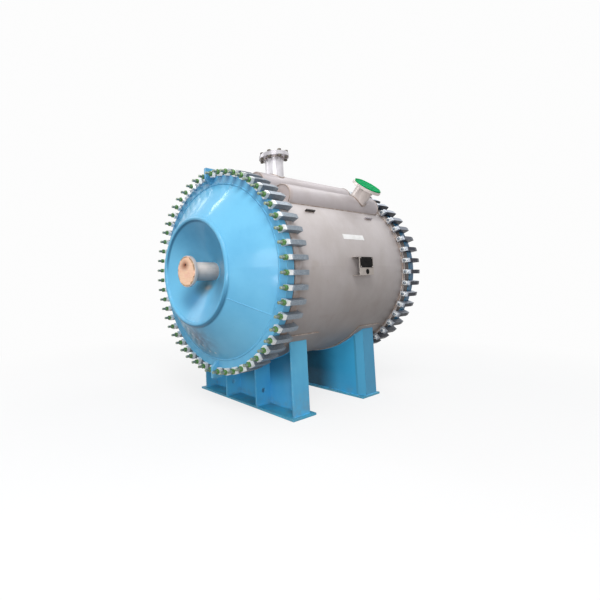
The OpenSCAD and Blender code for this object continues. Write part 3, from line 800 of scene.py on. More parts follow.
def under_pipe(tree):
    """Painted shade on the lower half of the front pipe."""
    return times(tree, falling(tree, axis_place(tree, 2), AXIS_Z - 0.07, AXIS_Z + 0.05), 0.62)


repaint("header_steel", heat_tint, linear(176, 142, 120))
repaint("front_pipe_steel", under_pipe, linear(112, 116, 126))
# Painted shade: the lugs near the front are painted nearly black.
repaint("lug_steel", lambda tree: falling(tree, axis_place(tree, 1), -0.1, 0.1), linear(52, 46, 44))
print("pipe steel ready")

# %% [markdown]
# ## Weld metal
# A bead keeps the colours of the heat: straw, brown and a little violet in its folds. The
# ripples are real shape, so the material only adds the colour, which drifts along the bead.

# %% Weld metal
tree, shader = new_look("weld_metal")
drift = mottle(tree, 0.05)
colour = paint_over(tree, rising(tree, drift, 0.35, 0.60), linear(178, 166, 158), linear(146, 130, 120))
colour = paint_over(tree, rising(tree, mottle(tree, 0.02, 3.0), 0.62, 0.72), colour, linear(124, 118, 126))
skin = hills(tree, [(mottle(tree, 0.003), 0.0003)])
set_look(tree, shader, colour, span(tree, drift, 0.30, 0.55), 0.5, skin)
print("weld metal ready")

# %% [markdown]
# ## Hook bolts, clamp blocks and nuts
# The hooks are forged and hot dipped in zinc: dull blue grey, with the faint spangle of
# zinc crystals, which a Voronoi pattern gives, and darker runs. The clamp blocks are bright
# plated. The nuts have an olive chromate coating that has worn off their corners.

# %% Zinc
def zinc(name, main, deep, spangle, roughness, metallic, edge):
    """Crystals by Voronoi cells, runs by noise, and bright worn edges."""
    tree, shader = new_look(name)
    cells = add(tree, "ShaderNodeTexVoronoi")
    tree.links.new(place_on(tree), cells.inputs["Vector"])
    cells.inputs["Scale"].default_value = 1.0 / spangle
    split = add(tree, "ShaderNodeSeparateColor")
    tree.links.new(cells.outputs["Color"], split.inputs[0])
    colour = paint_over(tree, split.outputs[0], linear(*main), linear(*deep))
    runs = times(tree, rising(tree, mottle(tree, 0.03, 5.0), 0.52, 0.70), 0.5)
    colour = paint_over(tree, runs, colour, linear(*deep))
    worn = times(tree, edge_mask(tree, 0.002), span(tree, mottle(tree, 0.01), 0.2, 1.0))
    colour = paint_over(tree, worn, colour, linear(*edge))
    matt = arithmetic(tree, "ADD", roughness, times(tree, split.outputs[1], 0.12))
    normal = hills(tree, [(mottle(tree, 0.006), 0.0006)], rounded(tree, 0.0025))
    set_look(tree, shader, colour, matt, metallic, normal)


# The rear hooks and blocks are darker copies of the front ones: painted shade.
for name, main, deep, spangle, roughness, metallic, edge in (
        ("bolt_steel", (144, 154, 163), (110, 121, 132), 0.005, 0.36, 0.45, (206, 212, 216)),
        ("clamp_plating", (236, 238, 238), (214, 218, 220), 0.010, 0.36, 0.25, (248, 248, 246)),
        ("nut_coating", (96, 146, 72), (50, 92, 50), 0.008, 0.38, 0.15, (160, 184, 124)),
        ("thread_plating", (168, 182, 150), (100, 120, 88), 0.006, 0.28, 0.60, (226, 234, 214)),
        ("shaded_rear_bolt_steel", (36, 42, 60), (18, 22, 36), 0.007, 0.26, 0.0, (178, 188, 206)),
        ("shaded_rear_block_plating", (222, 228, 236), (176, 186, 200), 0.010, 0.34, 0.20, (250, 250, 250)),
        ("lid_bolt_steel", (128, 122, 112), (92, 88, 80), 0.006, 0.42, 0.20, (160, 156, 146))):
    zinc(name, main, deep, spangle, roughness, metallic, edge)
print("zinc finishes ready")

# %% [markdown]
# ## Painted light and shade on the hooks
# The rear hooks are painted dark as shade. A painted highlight lies on the faces that look up, and painted
# shade on those that look down, so both shares come from the upright part of the face's direction.
# The lowest hooks and blocks get the most painted shade, which is a function of the height. The
# bolts of the lid, a dull grey brown, get painted light and shade in the same way.

# %% Painted light and shade
def facing(tree):
    """The upright part of the direction of a face: 1 looks up, -1 looks down."""
    split = add(tree, "ShaderNodeSeparateXYZ")
    tree.links.new(add(tree, "ShaderNodeNewGeometry").outputs["Normal"], split.inputs[0])
    return split.outputs[2]


def dust_and_soot(name, pale, pale_share, dark, dark_share):
    """A painted highlight on what looks up, painted shade on what looks down, and less shine."""
    def dust(tree):
        return times(tree, rising(tree, facing(tree), 0.15, 0.75), pale_share)

    def soot(tree):
        return times(tree, falling(tree, facing(tree), -0.75, -0.05), dark_share)

    repaint(name, dust, linear(*pale))
    repaint(name, soot, linear(*dark))
    shader = LOOKS[name].node_tree.nodes["Principled BSDF"]
    shader.inputs["Specular IOR Level"].default_value = 0.12


def low_soot(name, share, dark):
    """Painted shade on the lower part of the ring of hooks."""
    def low(tree):
        return times(tree, falling(tree, axis_place(tree, 2), AXIS_Z - 0.75, AXIS_Z - 0.20), share)

    repaint(name, low, linear(*dark))


# Painted highlights on the faces that look up, painted shade on those that look down and low down.
dust_and_soot("shaded_rear_bolt_steel", (200, 208, 222), 0.85, (20, 24, 34), 0.7)
dust_and_soot("shaded_rear_block_plating", (244, 246, 250), 0.50, (96, 104, 118), 0.7)
dust_and_soot("lid_bolt_steel", (214, 210, 206), 0.8, (84, 76, 68), 0.5)
low_soot("shaded_rear_bolt_steel", 0.85, (14, 17, 28))
low_soot("shaded_rear_block_plating", 0.45, (70, 78, 92))
print("dust and soot ready")

# %% [markdown]
# ## Rubber
# The gasket between a cover and the drum is black rubber with a grey bloom. The bloom is
# one noise that drives both the colour and the roughness, since bloomed rubber is matt.

# %% Gasket rubber
tree, shader = new_look("gasket_rubber")
bloom = rising(tree, mottle(tree, 0.05, 6.0), 0.45, 0.75)
colour = paint_over(tree, bloom, linear(34, 35, 37), linear(72, 72, 72))
skin = hills(tree, [(mottle(tree, 0.002), 0.0002)])
set_look(tree, shader, colour, span(tree, bloom, 0.55, 0.8), 0.0, skin)
print("gasket rubber ready")

# %% [markdown]
# ## Plywood
# The discs on the cover nozzles are thin plywood: warm orange, with long grain, which is a
# wave pattern squeezed along the board, a brown stain round the knot hole and dark brown
# patches round the edge. The grain sinks a little, so it drives the hills as well.

# %% Plywood
wood_low, wood_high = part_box("front_nozzle_blank")
WOOD_X = (wood_low.x + wood_high.x) / 2
WOOD_R = (wood_high.x - wood_low.x) / 2
KNOT_AT = (-0.022, wood_low.y, AXIS_Z + 0.056)
tree, shader = new_look("blank_wood")
grain = add(tree, "ShaderNodeTexWave", wave_type="BANDS", bands_direction="Z")
tree.links.new(place_on(tree, (0.16, 1.0, 1.0)), grain.inputs["Vector"])
for socket, value in (("Scale", 26.0), ("Distortion", 7.0), ("Detail", 4.0), ("Detail Scale", 1.6)):
    grain.inputs[socket].default_value = value
veins = rising(tree, grain.outputs["Fac"], 0.15, 0.95)
colour = paint_over(tree, veins, linear(248, 212, 184), linear(240, 196, 162))
fibres = rising(tree, mottle(tree, 0.004, 3.0, (0.05, 1.0, 1.0)), 0.50, 0.72)
pink = rising(tree, mottle(tree, 0.09, 3.0), 0.45, 0.70)
knot = spot(tree, KNOT_AT, 0.075, (0.75, 1.0, 1.15))
reach = distance(tree, (WOOD_X, 0.0, AXIS_Z), (1.0, 0.0, 1.0))
patches = rising(tree, mottle(tree, 0.04), 0.40, 0.55)
damp = times(tree, rising(tree, reach, WOOD_R - 0.018, WOOD_R - 0.001), patches)
for mark, share, over in (
        (fibres, 0.25, (226, 168, 130)), (pink, 0.6, (238, 176, 158)),
        (knot, 0.95, (138, 74, 44)), (damp, 0.8, (128, 104, 70))):
    colour = paint_over(tree, times(tree, mark, share), colour, linear(*over))
skin = hills(tree, [(fibres, 0.0005)], rounded(tree, 0.0015))
set_look(tree, shader, colour, span(tree, fibres, 0.55, 0.72), 0.0, skin)
print("plywood disc radius", round(WOOD_R, 3))

# %% [markdown]
# ## Plastic, lacquer and film
# The inclined nozzle has a green moulded cap. The nameplate and the tag are black, and the
# label is a bare white film. All have a fine grain and edges that handling has paled. The
# cap and the black plates are dull, so they mirror almost nothing.

# %% Moulded plastic, plates and label
def moulded(name, main, deep, roughness, grain, edge):
    """Two shades by noise, pale edges and a fine grain: plastic, lacquer or film."""
    tree, shader = new_look(name)
    shades = rising(tree, mottle(tree, 0.05, 5.0), 0.35, 0.70)
    colour = paint_over(tree, shades, linear(*main), linear(*deep))
    colour = paint_over(tree, times(tree, edge_mask(tree, 0.0015), 0.7), colour, linear(*edge))
    matt = span(tree, mottle(tree, 0.03, 5.0), roughness - 0.06, roughness + 0.10)
    skin = hills(tree, [(mottle(tree, grain, 3.0), 0.00015)], rounded(tree, 0.001))
    set_look(tree, shader, colour, matt, 0.0, skin)


moulded("cap_plastic", (0, 158, 92), (0, 140, 80), 0.60, 0.004, (40, 190, 130))
moulded("plate_black", (14, 13, 14), (30, 28, 28), 0.55, 0.004, (90, 88, 86))
moulded("tag_plastic", (12, 14, 12), (26, 28, 24), 0.60, 0.004, (60, 60, 56))
moulded("label_film", (240, 240, 240), (228, 228, 226), 0.40, 0.010, (225, 222, 214))
for dull in ("cap_plastic", "plate_black", "tag_plastic"):
    LOOKS[dull].node_tree.nodes["Principled BSDF"].inputs["Specular IOR Level"].default_value = 0.05
print("finishes:", sorted(LOOKS))

# %% [markdown]
# ## Dress the CAD model
# The record names a material slot for every node. Each node gets the finish of its slot,
# but a few have one of their own: the rear hooks, blocks, ring and rim carry painted
# shade, the vertical nozzle is brighter than the others, and the webs, ribs and bases get
# lighter or darker blues that stand in for the light and shade on them.

# %% Finishes on the nodes
OWN_FINISH = {
    "rear_cover_rim": "shaded_rear_rim_paint",
    "rear_shell_ring": "rear_ring_steel",
    "rear_hook_bolts": "shaded_rear_bolt_steel",
    "rear_clamp_blocks": "shaded_rear_block_plating",
    "small_lugs": "lug_steel",
    "front_nozzle_pipe": "front_pipe_steel",
    "top_nozzle_pipe": "bright_nozzle",
    "top_nozzle_flange": "bright_nozzle",
    "top_nozzle_blank": "bright_nozzle",
    "top_nozzle_bolts": "lid_bolt_steel",
    "saddle_bases": "shaded_base_paint",
    "saddle_end_plates": "end_paint",
    "front_saddle_web": "shaded_front_web_paint",
    "rear_saddle_web": "shaded_rear_web_paint",
    "front_saddle_ribs": "bay_lit_paint",
    "rear_saddle_ribs": "bay_lit_paint",
}
for part in frame["record"]["subparts"]:
    materials = NODES[part["node"]].data.materials
    materials.clear()
    materials.append(LOOKS[OWN_FINISH.get(part["node"], part["material_slot"])])

# %% [markdown]
# ## How the added pieces are made
# Every added piece is a sheet of points in rows and columns, worked out as whole arrays. A
# face joins four neighbouring points. Which way it looks depends on the order in which its
# corners are named, so every sheet is turned to look away from a given inside.

# %% Faces of a sheet
def sheet_faces(rows, columns, wrap_rows, wrap_columns):
    """Four-cornered faces between neighbouring rows and columns, wrapped where asked."""
    row, column = np.meshgrid(
        np.arange(rows if wrap_rows else rows - 1),
        np.arange(columns if wrap_columns else columns - 1), indexing="ij")
    next_row = (row + 1) % rows
    next_column = (column + 1) % columns
    corners = [row * columns + column, next_row * columns + column,
               next_row * columns + next_column, row * columns + next_column]
    return np.stack(corners, axis=-1).reshape(-1, 4)


def facing_out(points, faces, inside):
    """Reverse the faces if they look towards the inside: the sum of normal times way out."""
    flat = points.reshape(-1, 3)
    away = (points - inside).reshape(-1, 3)
    first = flat[faces[:, 2]] - flat[faces[:, 0]]
    second = flat[faces[:, 3]] - flat[faces[:, 1]]
    score = np.sum(np.cross(first, second) * away[faces[:, 0]])
    return faces if score > 0 else faces[:, ::-1]


print("faces of a sheet of 3 by 3 points:", len(sheet_faces(3, 3, False, False)))

# %% [markdown]
# ## One mesh from many sheets
# Where a sheet closes to a pole, or meets itself, several of its points are in one place.
# They are merged, so that the shell is really closed. The new piece is told that it belongs
# to the fixed machine and gets the finish that it is given by name.

# %% Sheets into a mesh
def merged(points, faces):
    """Points that coincide become one; a face that lost one corner becomes a triangle."""
    single, number = np.unique(np.round(points, 6), axis=0, return_inverse=True)
    faces = number.reshape(-1)[faces]
    same = faces == np.roll(faces, -1, axis=1)
    pinched = same.sum(axis=1) == 1
    triangles = faces[pinched][~same[pinched]].reshape(-1, 3)
    return single.tolist(), faces[~same.any(axis=1)].tolist() + triangles.tolist()


def make_piece(name, look, sheets, smooth=True):
    """One object from many sheets; each sheet is points, wrap_rows, wrap_columns, inside."""
    points = []
    faces = []
    start = 0
    for grid, wrap_rows, wrap_columns, inside in sheets:
        rows, columns = grid.shape[:2]
        found = sheet_faces(rows, columns, wrap_rows, wrap_columns)
        faces.append(facing_out(grid, found, inside) + start)
        points.append(grid.reshape(-1, 3))
        start += rows * columns
    single, whole = merged(np.concatenate(points), np.concatenate(faces))
    mesh = bpy.data.meshes.new(name)
    mesh.from_pydata(single, [], whole)
    mesh.polygons.foreach_set("use_smooth", np.full(len(mesh.polygons), smooth))
    mesh.materials.append(LOOKS[look])
    piece = bpy.data.objects.new(name, mesh)
    bpy.context.scene.collection.objects.link(piece)
    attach(piece, "root")
    print(name, "points", len(single), "faces", len(whole))
    return piece


# %% [markdown]
# ## Weld beads
# A weld is a row of overlapping drops. A bead here is a tube round the line where two
# plates meet, half sunk in the metal. Its radius rises and falls along the line, once for
# every drop. Open beads shrink to a point at both ends, as a welder's start and stop do.
# First the line is cut into equal steps, so that the drops come out equally long.

# %% Bead along a path
RIPPLE = 0.013
FINE_RIPPLE = 0.009
STEPS_A_RIPPLE = 3
AROUND = 7
AXIS_WAY = (0.0, 1.0, 0.0)
UP_WAY = (0.0, 0.0, 1.0)


def along(path, step):
    """The same path with points at equal steps, found by its running length."""
    legs = np.linalg.norm(np.diff(path, axis=0), axis=1)
    reach = np.concatenate([[0.0], np.cumsum(legs)])
    count = max(int(reach[-1] / step), 4)
    wanted = np.linspace(0.0, reach[-1], count + 1)
    return np.stack([np.interp(wanted, reach, path[:, i]) for i in range(3)], axis=1)


def bead(path, radius, reference, closed=False, ripple=RIPPLE):
    """Centre + radius x (1 + 0.12 cos(turns)) x (cos a x side + sin a x out) along a path."""
    centre = along(np.asarray(path, dtype=float), ripple / STEPS_A_RIPPLE)
    if closed:
        centre = centre[:-1]
        tangent = np.roll(centre, -1, axis=0) - np.roll(centre, 1, axis=0)
    else:
        tangent = np.gradient(centre, axis=0)
    tangent /= np.linalg.norm(tangent, axis=1, keepdims=True)
    reference = np.broadcast_to(np.asarray(reference, dtype=float), centre.shape)
    side = np.cross(tangent, reference)
    side /= np.linalg.norm(side, axis=1, keepdims=True)
    out = np.cross(side, tangent)
    drop_turn = np.arange(len(centre)) * 2.0 * math.pi / STEPS_A_RIPPLE
    size = radius * (1.0 + 0.12 * np.cos(drop_turn))
    if not closed:
        size[[0, -1]] = 0.0
    turn = np.linspace(0.0, 2.0 * math.pi, AROUND, endpoint=False)
    ring = np.cos(turn)[None, :, None] * side[:, None, :] + np.sin(turn)[None, :, None] * out[:, None, :]
    return centre[:, None, :] + size[:, None, None] * ring, closed, True, centre[:, None, :]


print("bead ready: a drop every", RIPPLE, "m")

# %% [markdown]
# ## Lines on the drum
# Most welds of the drum are straight lines along it or circles round it, so a line needs
# only its start and its length, and a circle only its radius and its place.

# %% Lines and circles
def lengthways(start, length, radius, ripple=RIPPLE):
    """A straight bead from a point, along the drum."""
    return bead([start, start + length * np.array(AXIS_WAY)], radius, UP_WAY, ripple=ripple)


def ring_path(radius, y, start=0.0, stop=360.0, count=720):
    """Points on a circle round the drum axis: angles above +X, in degrees."""
    angle = np.radians(np.linspace(start, stop, count))
    return np.stack([radius * np.cos(angle), np.full(count, y), AXIS_Z + radius * np.sin(angle)], axis=1)


def on_drum(angle, y, radius=SHELL_R):
    """One point on the drum, by its angle above +X in degrees."""
    return ring_path(radius, y, angle, angle, 1)[0]


print("foot of the drum at", [round(float(v), 3) for v in on_drum(270.0, 0.0)])

# %% [markdown]
# ## Welds on the covers
# Each cone is welded to its rim, the nozzle pipe is welded into the bottom of the recess,
# and the cone has one straight seam, ground nearly flush, where its plate closes. All of
# them are under the enamel, so they take the cover's own finish.

# %% Cover welds
pipe_low, pipe_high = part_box("front_nozzle_pipe")
PIPE_R = (pipe_high.x - pipe_low.x) / 2
ROOT_Y = RIM_Y - 0.004
LIP_OUT = 0.250
SEAM_ANGLE = math.radians(-27.8)
RIM_BEAD = 0.008
ROOT_BEAD = 0.007
SEAM_BEAD = 0.0035


def cone_seam(side, angle, r_from, r_to, count=60):
    """A straight line up the cone: the distance out grows as the radius shrinks."""
    radius = np.linspace(r_from, r_to, count)
    out = RIM_Y + (CONE_R - radius) * LIP_OUT / (CONE_R - LIP_R)
    points = [radius * math.cos(angle), side * out, AXIS_Z + radius * math.sin(angle)]
    return np.stack(points, axis=1)


cover_beads = []
for side in (-1.0, 1.0):
    cover_beads.append(bead(ring_path(CONE_R + 0.003, side * RIM_Y), RIM_BEAD, AXIS_WAY, True))
    cover_beads.append(bead(ring_path(PIPE_R + 0.002, side * ROOT_Y), ROOT_BEAD, AXIS_WAY, True))
    seam = cone_seam(side, SEAM_ANGLE, CONE_R - 0.004, LIP_R + 0.020)
    cover_beads.append(bead(seam, SEAM_BEAD, AXIS_WAY))
make_piece("cover_welds", "cover_paint", cover_beads)

# %% [markdown]
# ## The rolled lip
# Where the cone meets the recess, the lip is a round bead that stands a little proud of
# both. It is a torus: at every turn round the drum axis the radius is the lip radius plus
# r cos, and the way out is the lip's own plus r sin. Its hand-ground skin wavers slightly.

# %% Rolled lips
LIP_TUBE = 0.024
LIP_SET = 0.0155


def lip_roll(side, around=360, across=28):
    """(R + r cos b) round the axis and side x (out + r sin b) along it; r wavers by 2 %."""
    turn = np.arange(around)[:, None] * 2.0 * math.pi / around
    lean = np.arange(across)[None, :] * 2.0 * math.pi / across
    tube = LIP_TUBE * (1.0 + 0.012 * np.sin(turn * 9.0) + 0.008 * np.sin(turn * 23.0 + 1.0))
    radius = LIP_R + tube * np.cos(lean)
    out = side * (LIP_Y - LIP_SET + tube * np.sin(lean))
    points = np.stack([radius * np.cos(turn), out, AXIS_Z + radius * np.sin(turn)], axis=2)
    middle = np.stack([LIP_R * np.cos(turn), np.full_like(turn, side * (LIP_Y - LIP_SET)),
                       AXIS_Z + LIP_R * np.sin(turn)], axis=2)
    return points, True, True, middle


make_piece("rolled_lips", "cover_paint", [lip_roll(-1.0), lip_roll(1.0)])

# %% [markdown]
# ## Welds on the drum
# The two bolting rings are welded to the drum on their inner side. The saddle pads are
# welded all round. These beads keep the colours of the heat, so they lie bare on the steel.

# %% Ring and pad welds
SKIN_R = SHELL_R + 0.002
PAD_BEAD = 0.006
pad_y = np.unique(np.round(np.array([v.co.y for v in NODES["saddle_pads"].data.vertices]), 4))
pad_low, pad_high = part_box("saddle_pads")
PAD_R = AXIS_Z - pad_low.z
PAD_END = math.degrees(math.asin((AXIS_Z - pad_high.z) / SHELL_R))
drum_beads = []
for side in (-1.0, 1.0):
    drum_beads.append(bead(ring_path(SKIN_R, side * (RING_Y - 0.002)), RIM_BEAD, AXIS_WAY, True))
pad_edges = [pad_y[0], pad_y[1], pad_y[-2], pad_y[-1]]
for edge in pad_edges:
    arc = ring_path(SKIN_R, edge, 180.0 + PAD_END, 360.0 - PAD_END)
    drum_beads.append(bead(arc, PAD_BEAD, AXIS_WAY))
for near, far in ((pad_edges[0], pad_edges[1]), (pad_edges[2], pad_edges[3])):
    for angle in (180.0 + PAD_END, 360.0 - PAD_END):
        drum_beads.append(lengthways(on_drum(angle, near, SKIN_R), far - near, PAD_BEAD))
print("pad edges", pad_edges, "pad end angle", round(PAD_END, 1))

# %% [markdown]
# ## Welds on the bracket and the lugs
# The bracket of the nameplate and the small lugs are thin, so their beads are thin too and
# their ripples are finer. They join the same piece as the other welds on the drum.

# %% Bracket and lug welds
BRACKET_BEAD = 0.003
LUG_BEAD = 0.004
bracket_low, bracket_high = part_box("nameplate_bracket")
for z in (bracket_low.z, bracket_high.z):
    reach = math.sqrt(SHELL_R ** 2 - (z - AXIS_Z) ** 2)
    start = np.array([reach, bracket_low.y, z])
    drum_beads.append(lengthways(start, bracket_high.y - bracket_low.y, BRACKET_BEAD, FINE_RIPPLE))
LUG_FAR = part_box("small_lugs")[1].y
LUG_ANGLE = 33.0
LUG_LEN = 0.112
LUG_HALF = 0.005
for side in (-1.0, 1.0):
    for edge in (-1.0, 1.0):
        turn = LUG_ANGLE + edge * math.degrees(LUG_HALF / SHELL_R)
        start = on_drum(turn, side * (LUG_FAR - LUG_LEN / 2) - LUG_LEN / 2)
        drum_beads.append(lengthways(start, LUG_LEN, LUG_BEAD, FINE_RIPPLE))
make_piece("drum_welds", "weld_metal", drum_beads)

# %% [markdown]
# ## Welds on the headers and nozzles
# A half pipe meets the drum along two straight lines. Its flat front plate is let into the
# bore, so that weld is an arch. Where a nozzle stands on a header, the line is a saddle:
# round the nozzle, the height follows the top of the half pipe, so it is the square root
# of the header radius squared less the sideways distance squared.

# %% Header paths
HEADER_AT = SHELL_R - 0.013
HEADER_R = 0.10955
HEADER_BORE = HEADER_R - 0.0082
HEADER_ANGLES = (46.0, 70.0)
HEADER_END = 0.020


def header_frame(angle):
    """The middle of a header, its way out from the drum and its way sideways."""
    turn = math.radians(angle)
    out = np.array([math.cos(turn), 0.0, math.sin(turn)])
    sideways = np.array([-math.sin(turn), 0.0, math.cos(turn)])
    return np.array([0.0, 0.0, AXIS_Z]) + HEADER_AT * out, out, sideways


def arch(angle, y, radius, half_turn=85.0):
    """Part of a circle round the header line: cos times the way out, sin times sideways."""
    middle, out, sideways = header_frame(angle)
    turn = np.radians(np.linspace(-half_turn, half_turn, 80))[:, None]
    path = middle + radius * (np.cos(turn) * out + np.sin(turn) * sideways)
    path[:, 1] = y
    return path


def saddle(angle, flange, way, across):
    """Round a nozzle: r cos along the drum, r sin across it, sqrt(R x R - across x across) up."""
    turn = np.linspace(0.0, 2.0 * math.pi, 200)[:, None]
    forward = PIPE_R * np.cos(turn)
    crossways = PIPE_R * np.sin(turn)
    height = np.sqrt(HEADER_R ** 2 - crossways ** 2)
    low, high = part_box(flange)
    foot = header_frame(angle)[0] + np.array([0.0, (low.y + high.y) / 2, 0.0])
    return foot + forward * np.array(AXIS_WAY) + crossways * across + height * way


print("headers at", HEADER_ANGLES, "degrees")

# %% [markdown]
# ## The beads of the headers
# The side beads run from the front plate to where the dished end begins. The cosine rule
# gives how far to either side of its middle a half pipe meets the drum: its three lengths
# are the drum's radius, the pipe's radius and the distance between their two centres.

# %% Header and nozzle welds
SIDE_BEAD = 0.006
ARCH_BEAD = 0.005
DOME_BEAD = 0.004
ends_low, ends_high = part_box("header_ends")
DOME_Y = ends_high.y - HEADER_END
header_beads = []
spread = math.degrees(math.acos((SHELL_R ** 2 + HEADER_AT ** 2 - HEADER_R ** 2) / (2 * SHELL_R * HEADER_AT)))
for angle in HEADER_ANGLES:
    for turn in (angle - spread, angle + spread):
        header_beads.append(lengthways(on_drum(turn, ends_low.y), DOME_Y - ends_low.y, SIDE_BEAD))
    header_beads.append(bead(arch(angle, ends_low.y, HEADER_BORE), ARCH_BEAD, AXIS_WAY))
    header_beads.append(bead(arch(angle, DOME_Y, HEADER_R), DOME_BEAD, AXIS_WAY))
_, side_out, side_across = header_frame(HEADER_ANGLES[0])
side_saddle = saddle(HEADER_ANGLES[0], "side_nozzle_flange", side_out, side_across)
header_beads.append(bead(side_saddle, ROOT_BEAD, side_out, True))
top_saddle = saddle(HEADER_ANGLES[1], "top_nozzle_flange", np.array(UP_WAY), np.array([1.0, 0.0, 0.0]))
header_beads.append(bead(top_saddle, ROOT_BEAD, UP_WAY, True))
make_piece("header_welds", "weld_metal", header_beads)

# %% [markdown]
# ## Welds under the flanges
# Each flange is welded to its pipe on the back. The bead is a plain circle round the pipe.

# %% Flange welds
FLANGE_T = 0.0254
FLANGE_BEAD = 0.006


def circle_about(middle, way, radius, count=160):
    """A circle square to a direction: two ways across it, by cosine and sine."""
    way = np.asarray(way, dtype=float)
    helper = np.array([1.0, 0.0, 0.0]) if abs(way[0]) < 0.5 else np.array([0.0, 1.0, 0.0])
    first = np.cross(way, helper)
    first /= np.linalg.norm(first)
    second = np.cross(way, first)
    turn = np.linspace(0.0, 2.0 * math.pi, count)[:, None]
    return np.asarray(middle) + radius * (np.cos(turn) * first + np.sin(turn) * second)


def box_middle(node):
    """The middle of a node's box."""
    low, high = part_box(node)
    return np.array([(low.x + high.x) / 2, (low.y + high.y) / 2, (low.z + high.z) / 2])


FLANGES = {
    "front_nozzle_flange": np.array([0.0, -1.0, 0.0]),
    "rear_nozzle_flange": np.array([0.0, 1.0, 0.0]),
    "side_nozzle_flange": side_out,
    "top_nozzle_flange": np.array(UP_WAY),
}
flange_beads = []
for node, way in FLANGES.items():
    behind = box_middle(node) - way * FLANGE_T / 2
    flange_beads.append(bead(circle_about(behind, way, PIPE_R + 0.001), FLANGE_BEAD, way, True))
make_piece("flange_welds", "weld_metal", flange_beads)

# %% [markdown]
# ## Welds on the saddles
# The webs, ribs and end plates stand on the base plates with a fillet weld on each side,
# and their curved tops are welded to the pads. The beads are painted over.

# %% Welds on the base plates
BASE_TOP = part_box("saddle_bases")[1].z
SADDLE_BEAD = 0.006
CORNER_CUT = 0.050
PLATE_T = 0.014
saddle_beads = []


def floor_line(x_from, y_from, x_to, y_to):
    """A straight bead on top of a base plate."""
    line = [(x_from, y_from, BASE_TOP), (x_to, y_to, BASE_TOP)]
    saddle_beads.append(bead(line, SADDLE_BEAD, UP_WAY))


front_web_low, front_web_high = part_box("front_saddle_web")
rear_web_low, rear_web_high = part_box("rear_saddle_web")
FLAT = rear_web_high.x - CORNER_CUT
for y in (front_web_low.y, front_web_high.y):
    floor_line(front_web_low.x, y, front_web_high.x, y)
for y in (rear_web_low.y, rear_web_low.y + PLATE_T):
    floor_line(-FLAT, y, FLAT, y)
for node in ("front_saddle_ribs", "rear_saddle_ribs"):
    low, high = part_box(node)
    for x in (low.x, low.x + PLATE_T, high.x - PLATE_T, high.x):
        floor_line(x, low.y, x, high.y)
end_points = np.array([v.co[:] for v in NODES["saddle_end_plates"].data.vertices])
for sign in (-1.0, 1.0):
    group = end_points[np.sign(end_points[:, 1]) == sign]
    near, far = group[:, 1].min(), group[:, 1].max()
    reach = group[:, 0].max()
    for x in (-reach, -reach + PLATE_T, reach - PLATE_T, reach):
        floor_line(x, near, x, far)
print("welds on the base plates:", len(saddle_beads))

# %% [markdown]
# ## Welds under the pads
# The top of a web is cut to the curve of its pad, which is a circle round the drum axis. A
# bead on each side closes the joint, and all the beads of the saddles become one piece.

# %% Welds under the pads
def pad_line(half, y, count=200):
    """Along the top of a web: the height is the pad's circle, axis - sqrt(R x R - x x x)."""
    x = np.linspace(-half, half, count)
    height = AXIS_Z - np.sqrt(PAD_R ** 2 - x ** 2)
    saddle_beads.append(bead(np.stack([x, np.full(count, y), height], axis=1), SADDLE_BEAD, AXIS_WAY))


for y in (front_web_low.y, front_web_high.y):
    pad_line(front_web_high.x - 0.004, y)
for y in (rear_web_low.y, rear_web_low.y + PLATE_T):
    pad_line(FLAT, y)
make_piece("saddle_welds", "saddle_paint", saddle_beads)

# %% [markdown]
# ## Where the bolts are
# The hook bolts stand on a circle just outside each cover. Each has ways of its own: out
# from the axis and sideways along the circle. They are worked out for all the bolts at
# once, by sine and cosine of equal turns. A sleeve or a nut is then a few rings round one
# of the places.

# %% Bolt places and turned rings
STUD_OUT = 0.026
BOLT_R = RING_R + STUD_OUT
bolt_angle = (np.arange(BOLT_COUNT) + 0.5) * 2.0 * math.pi / BOLT_COUNT


def bolt_frames():
    """For every bolt: its place on the circle, its sideways way and its outward way."""
    out = np.stack([np.sin(bolt_angle), np.zeros(BOLT_COUNT), np.cos(bolt_angle)], axis=1)
    sideways = np.stack([np.cos(bolt_angle), np.zeros(BOLT_COUNT), -np.sin(bolt_angle)], axis=1)
    return np.array([0.0, 0.0, AXIS_Z]) + BOLT_R * out, sideways, out


def turned(centre, sideways, out, y, radius, sides, phase=0.0):
    """Rings along -Y round a centre: radius x (cos x sideways + sin x out) at each y."""
    turn = np.arange(sides) * 2.0 * math.pi / sides + phase
    ring = np.cos(turn)[:, None] * sideways + np.sin(turn)[:, None] * out
    points = centre + radius[:, :, None] * ring[None]
    points[:, :, 1] = y[:, None]
    inside = centre + np.zeros((len(y), 1, 3))
    inside[:, :, 1] = y[:, None]
    return points, inside


print("bolt circle radius", round(BOLT_R, 3))

# %% [markdown]
# ## Screw threads on the hook bolts
# The stud ends stand out of the nuts with their thread in view. A thread sleeve is turned
# round the stud: the radius is a zigzag between root and crest along the stud, with a
# chamfer at the tip. There are over a hundred, so each has eight sides and few rows.

# %% Thread sleeves
CLAMP_T = 0.033
NUT_T = 0.024
STUD_R = 0.012
ROOT = 0.0001
CREST = 0.0013
THREAD_SIDES = 8
FRONT_SEAT = -RIM_Y - CLAMP_T
REAR_SEAT = RING_Y - CLAMP_T
front_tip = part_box("front_hook_bolts")[0].y
rear_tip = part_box("rear_hook_bolts")[0].y


def thread_rows(nut_face, tip, ridges):
    """Zigzag radii from the nut to the tip, a chamfer and a closed end."""
    zigzag = np.linspace(nut_face, tip + 0.002, 2 * ridges + 1)
    crest = np.where(np.arange(2 * ridges + 1) % 2 == 1, STUD_R + CREST, STUD_R + ROOT)
    y = np.concatenate([[nut_face], zigzag, [tip - 0.0003, tip - 0.0003]])
    radius = np.concatenate([[0.0], crest, [STUD_R - 0.001, 0.0]])
    return y, radius


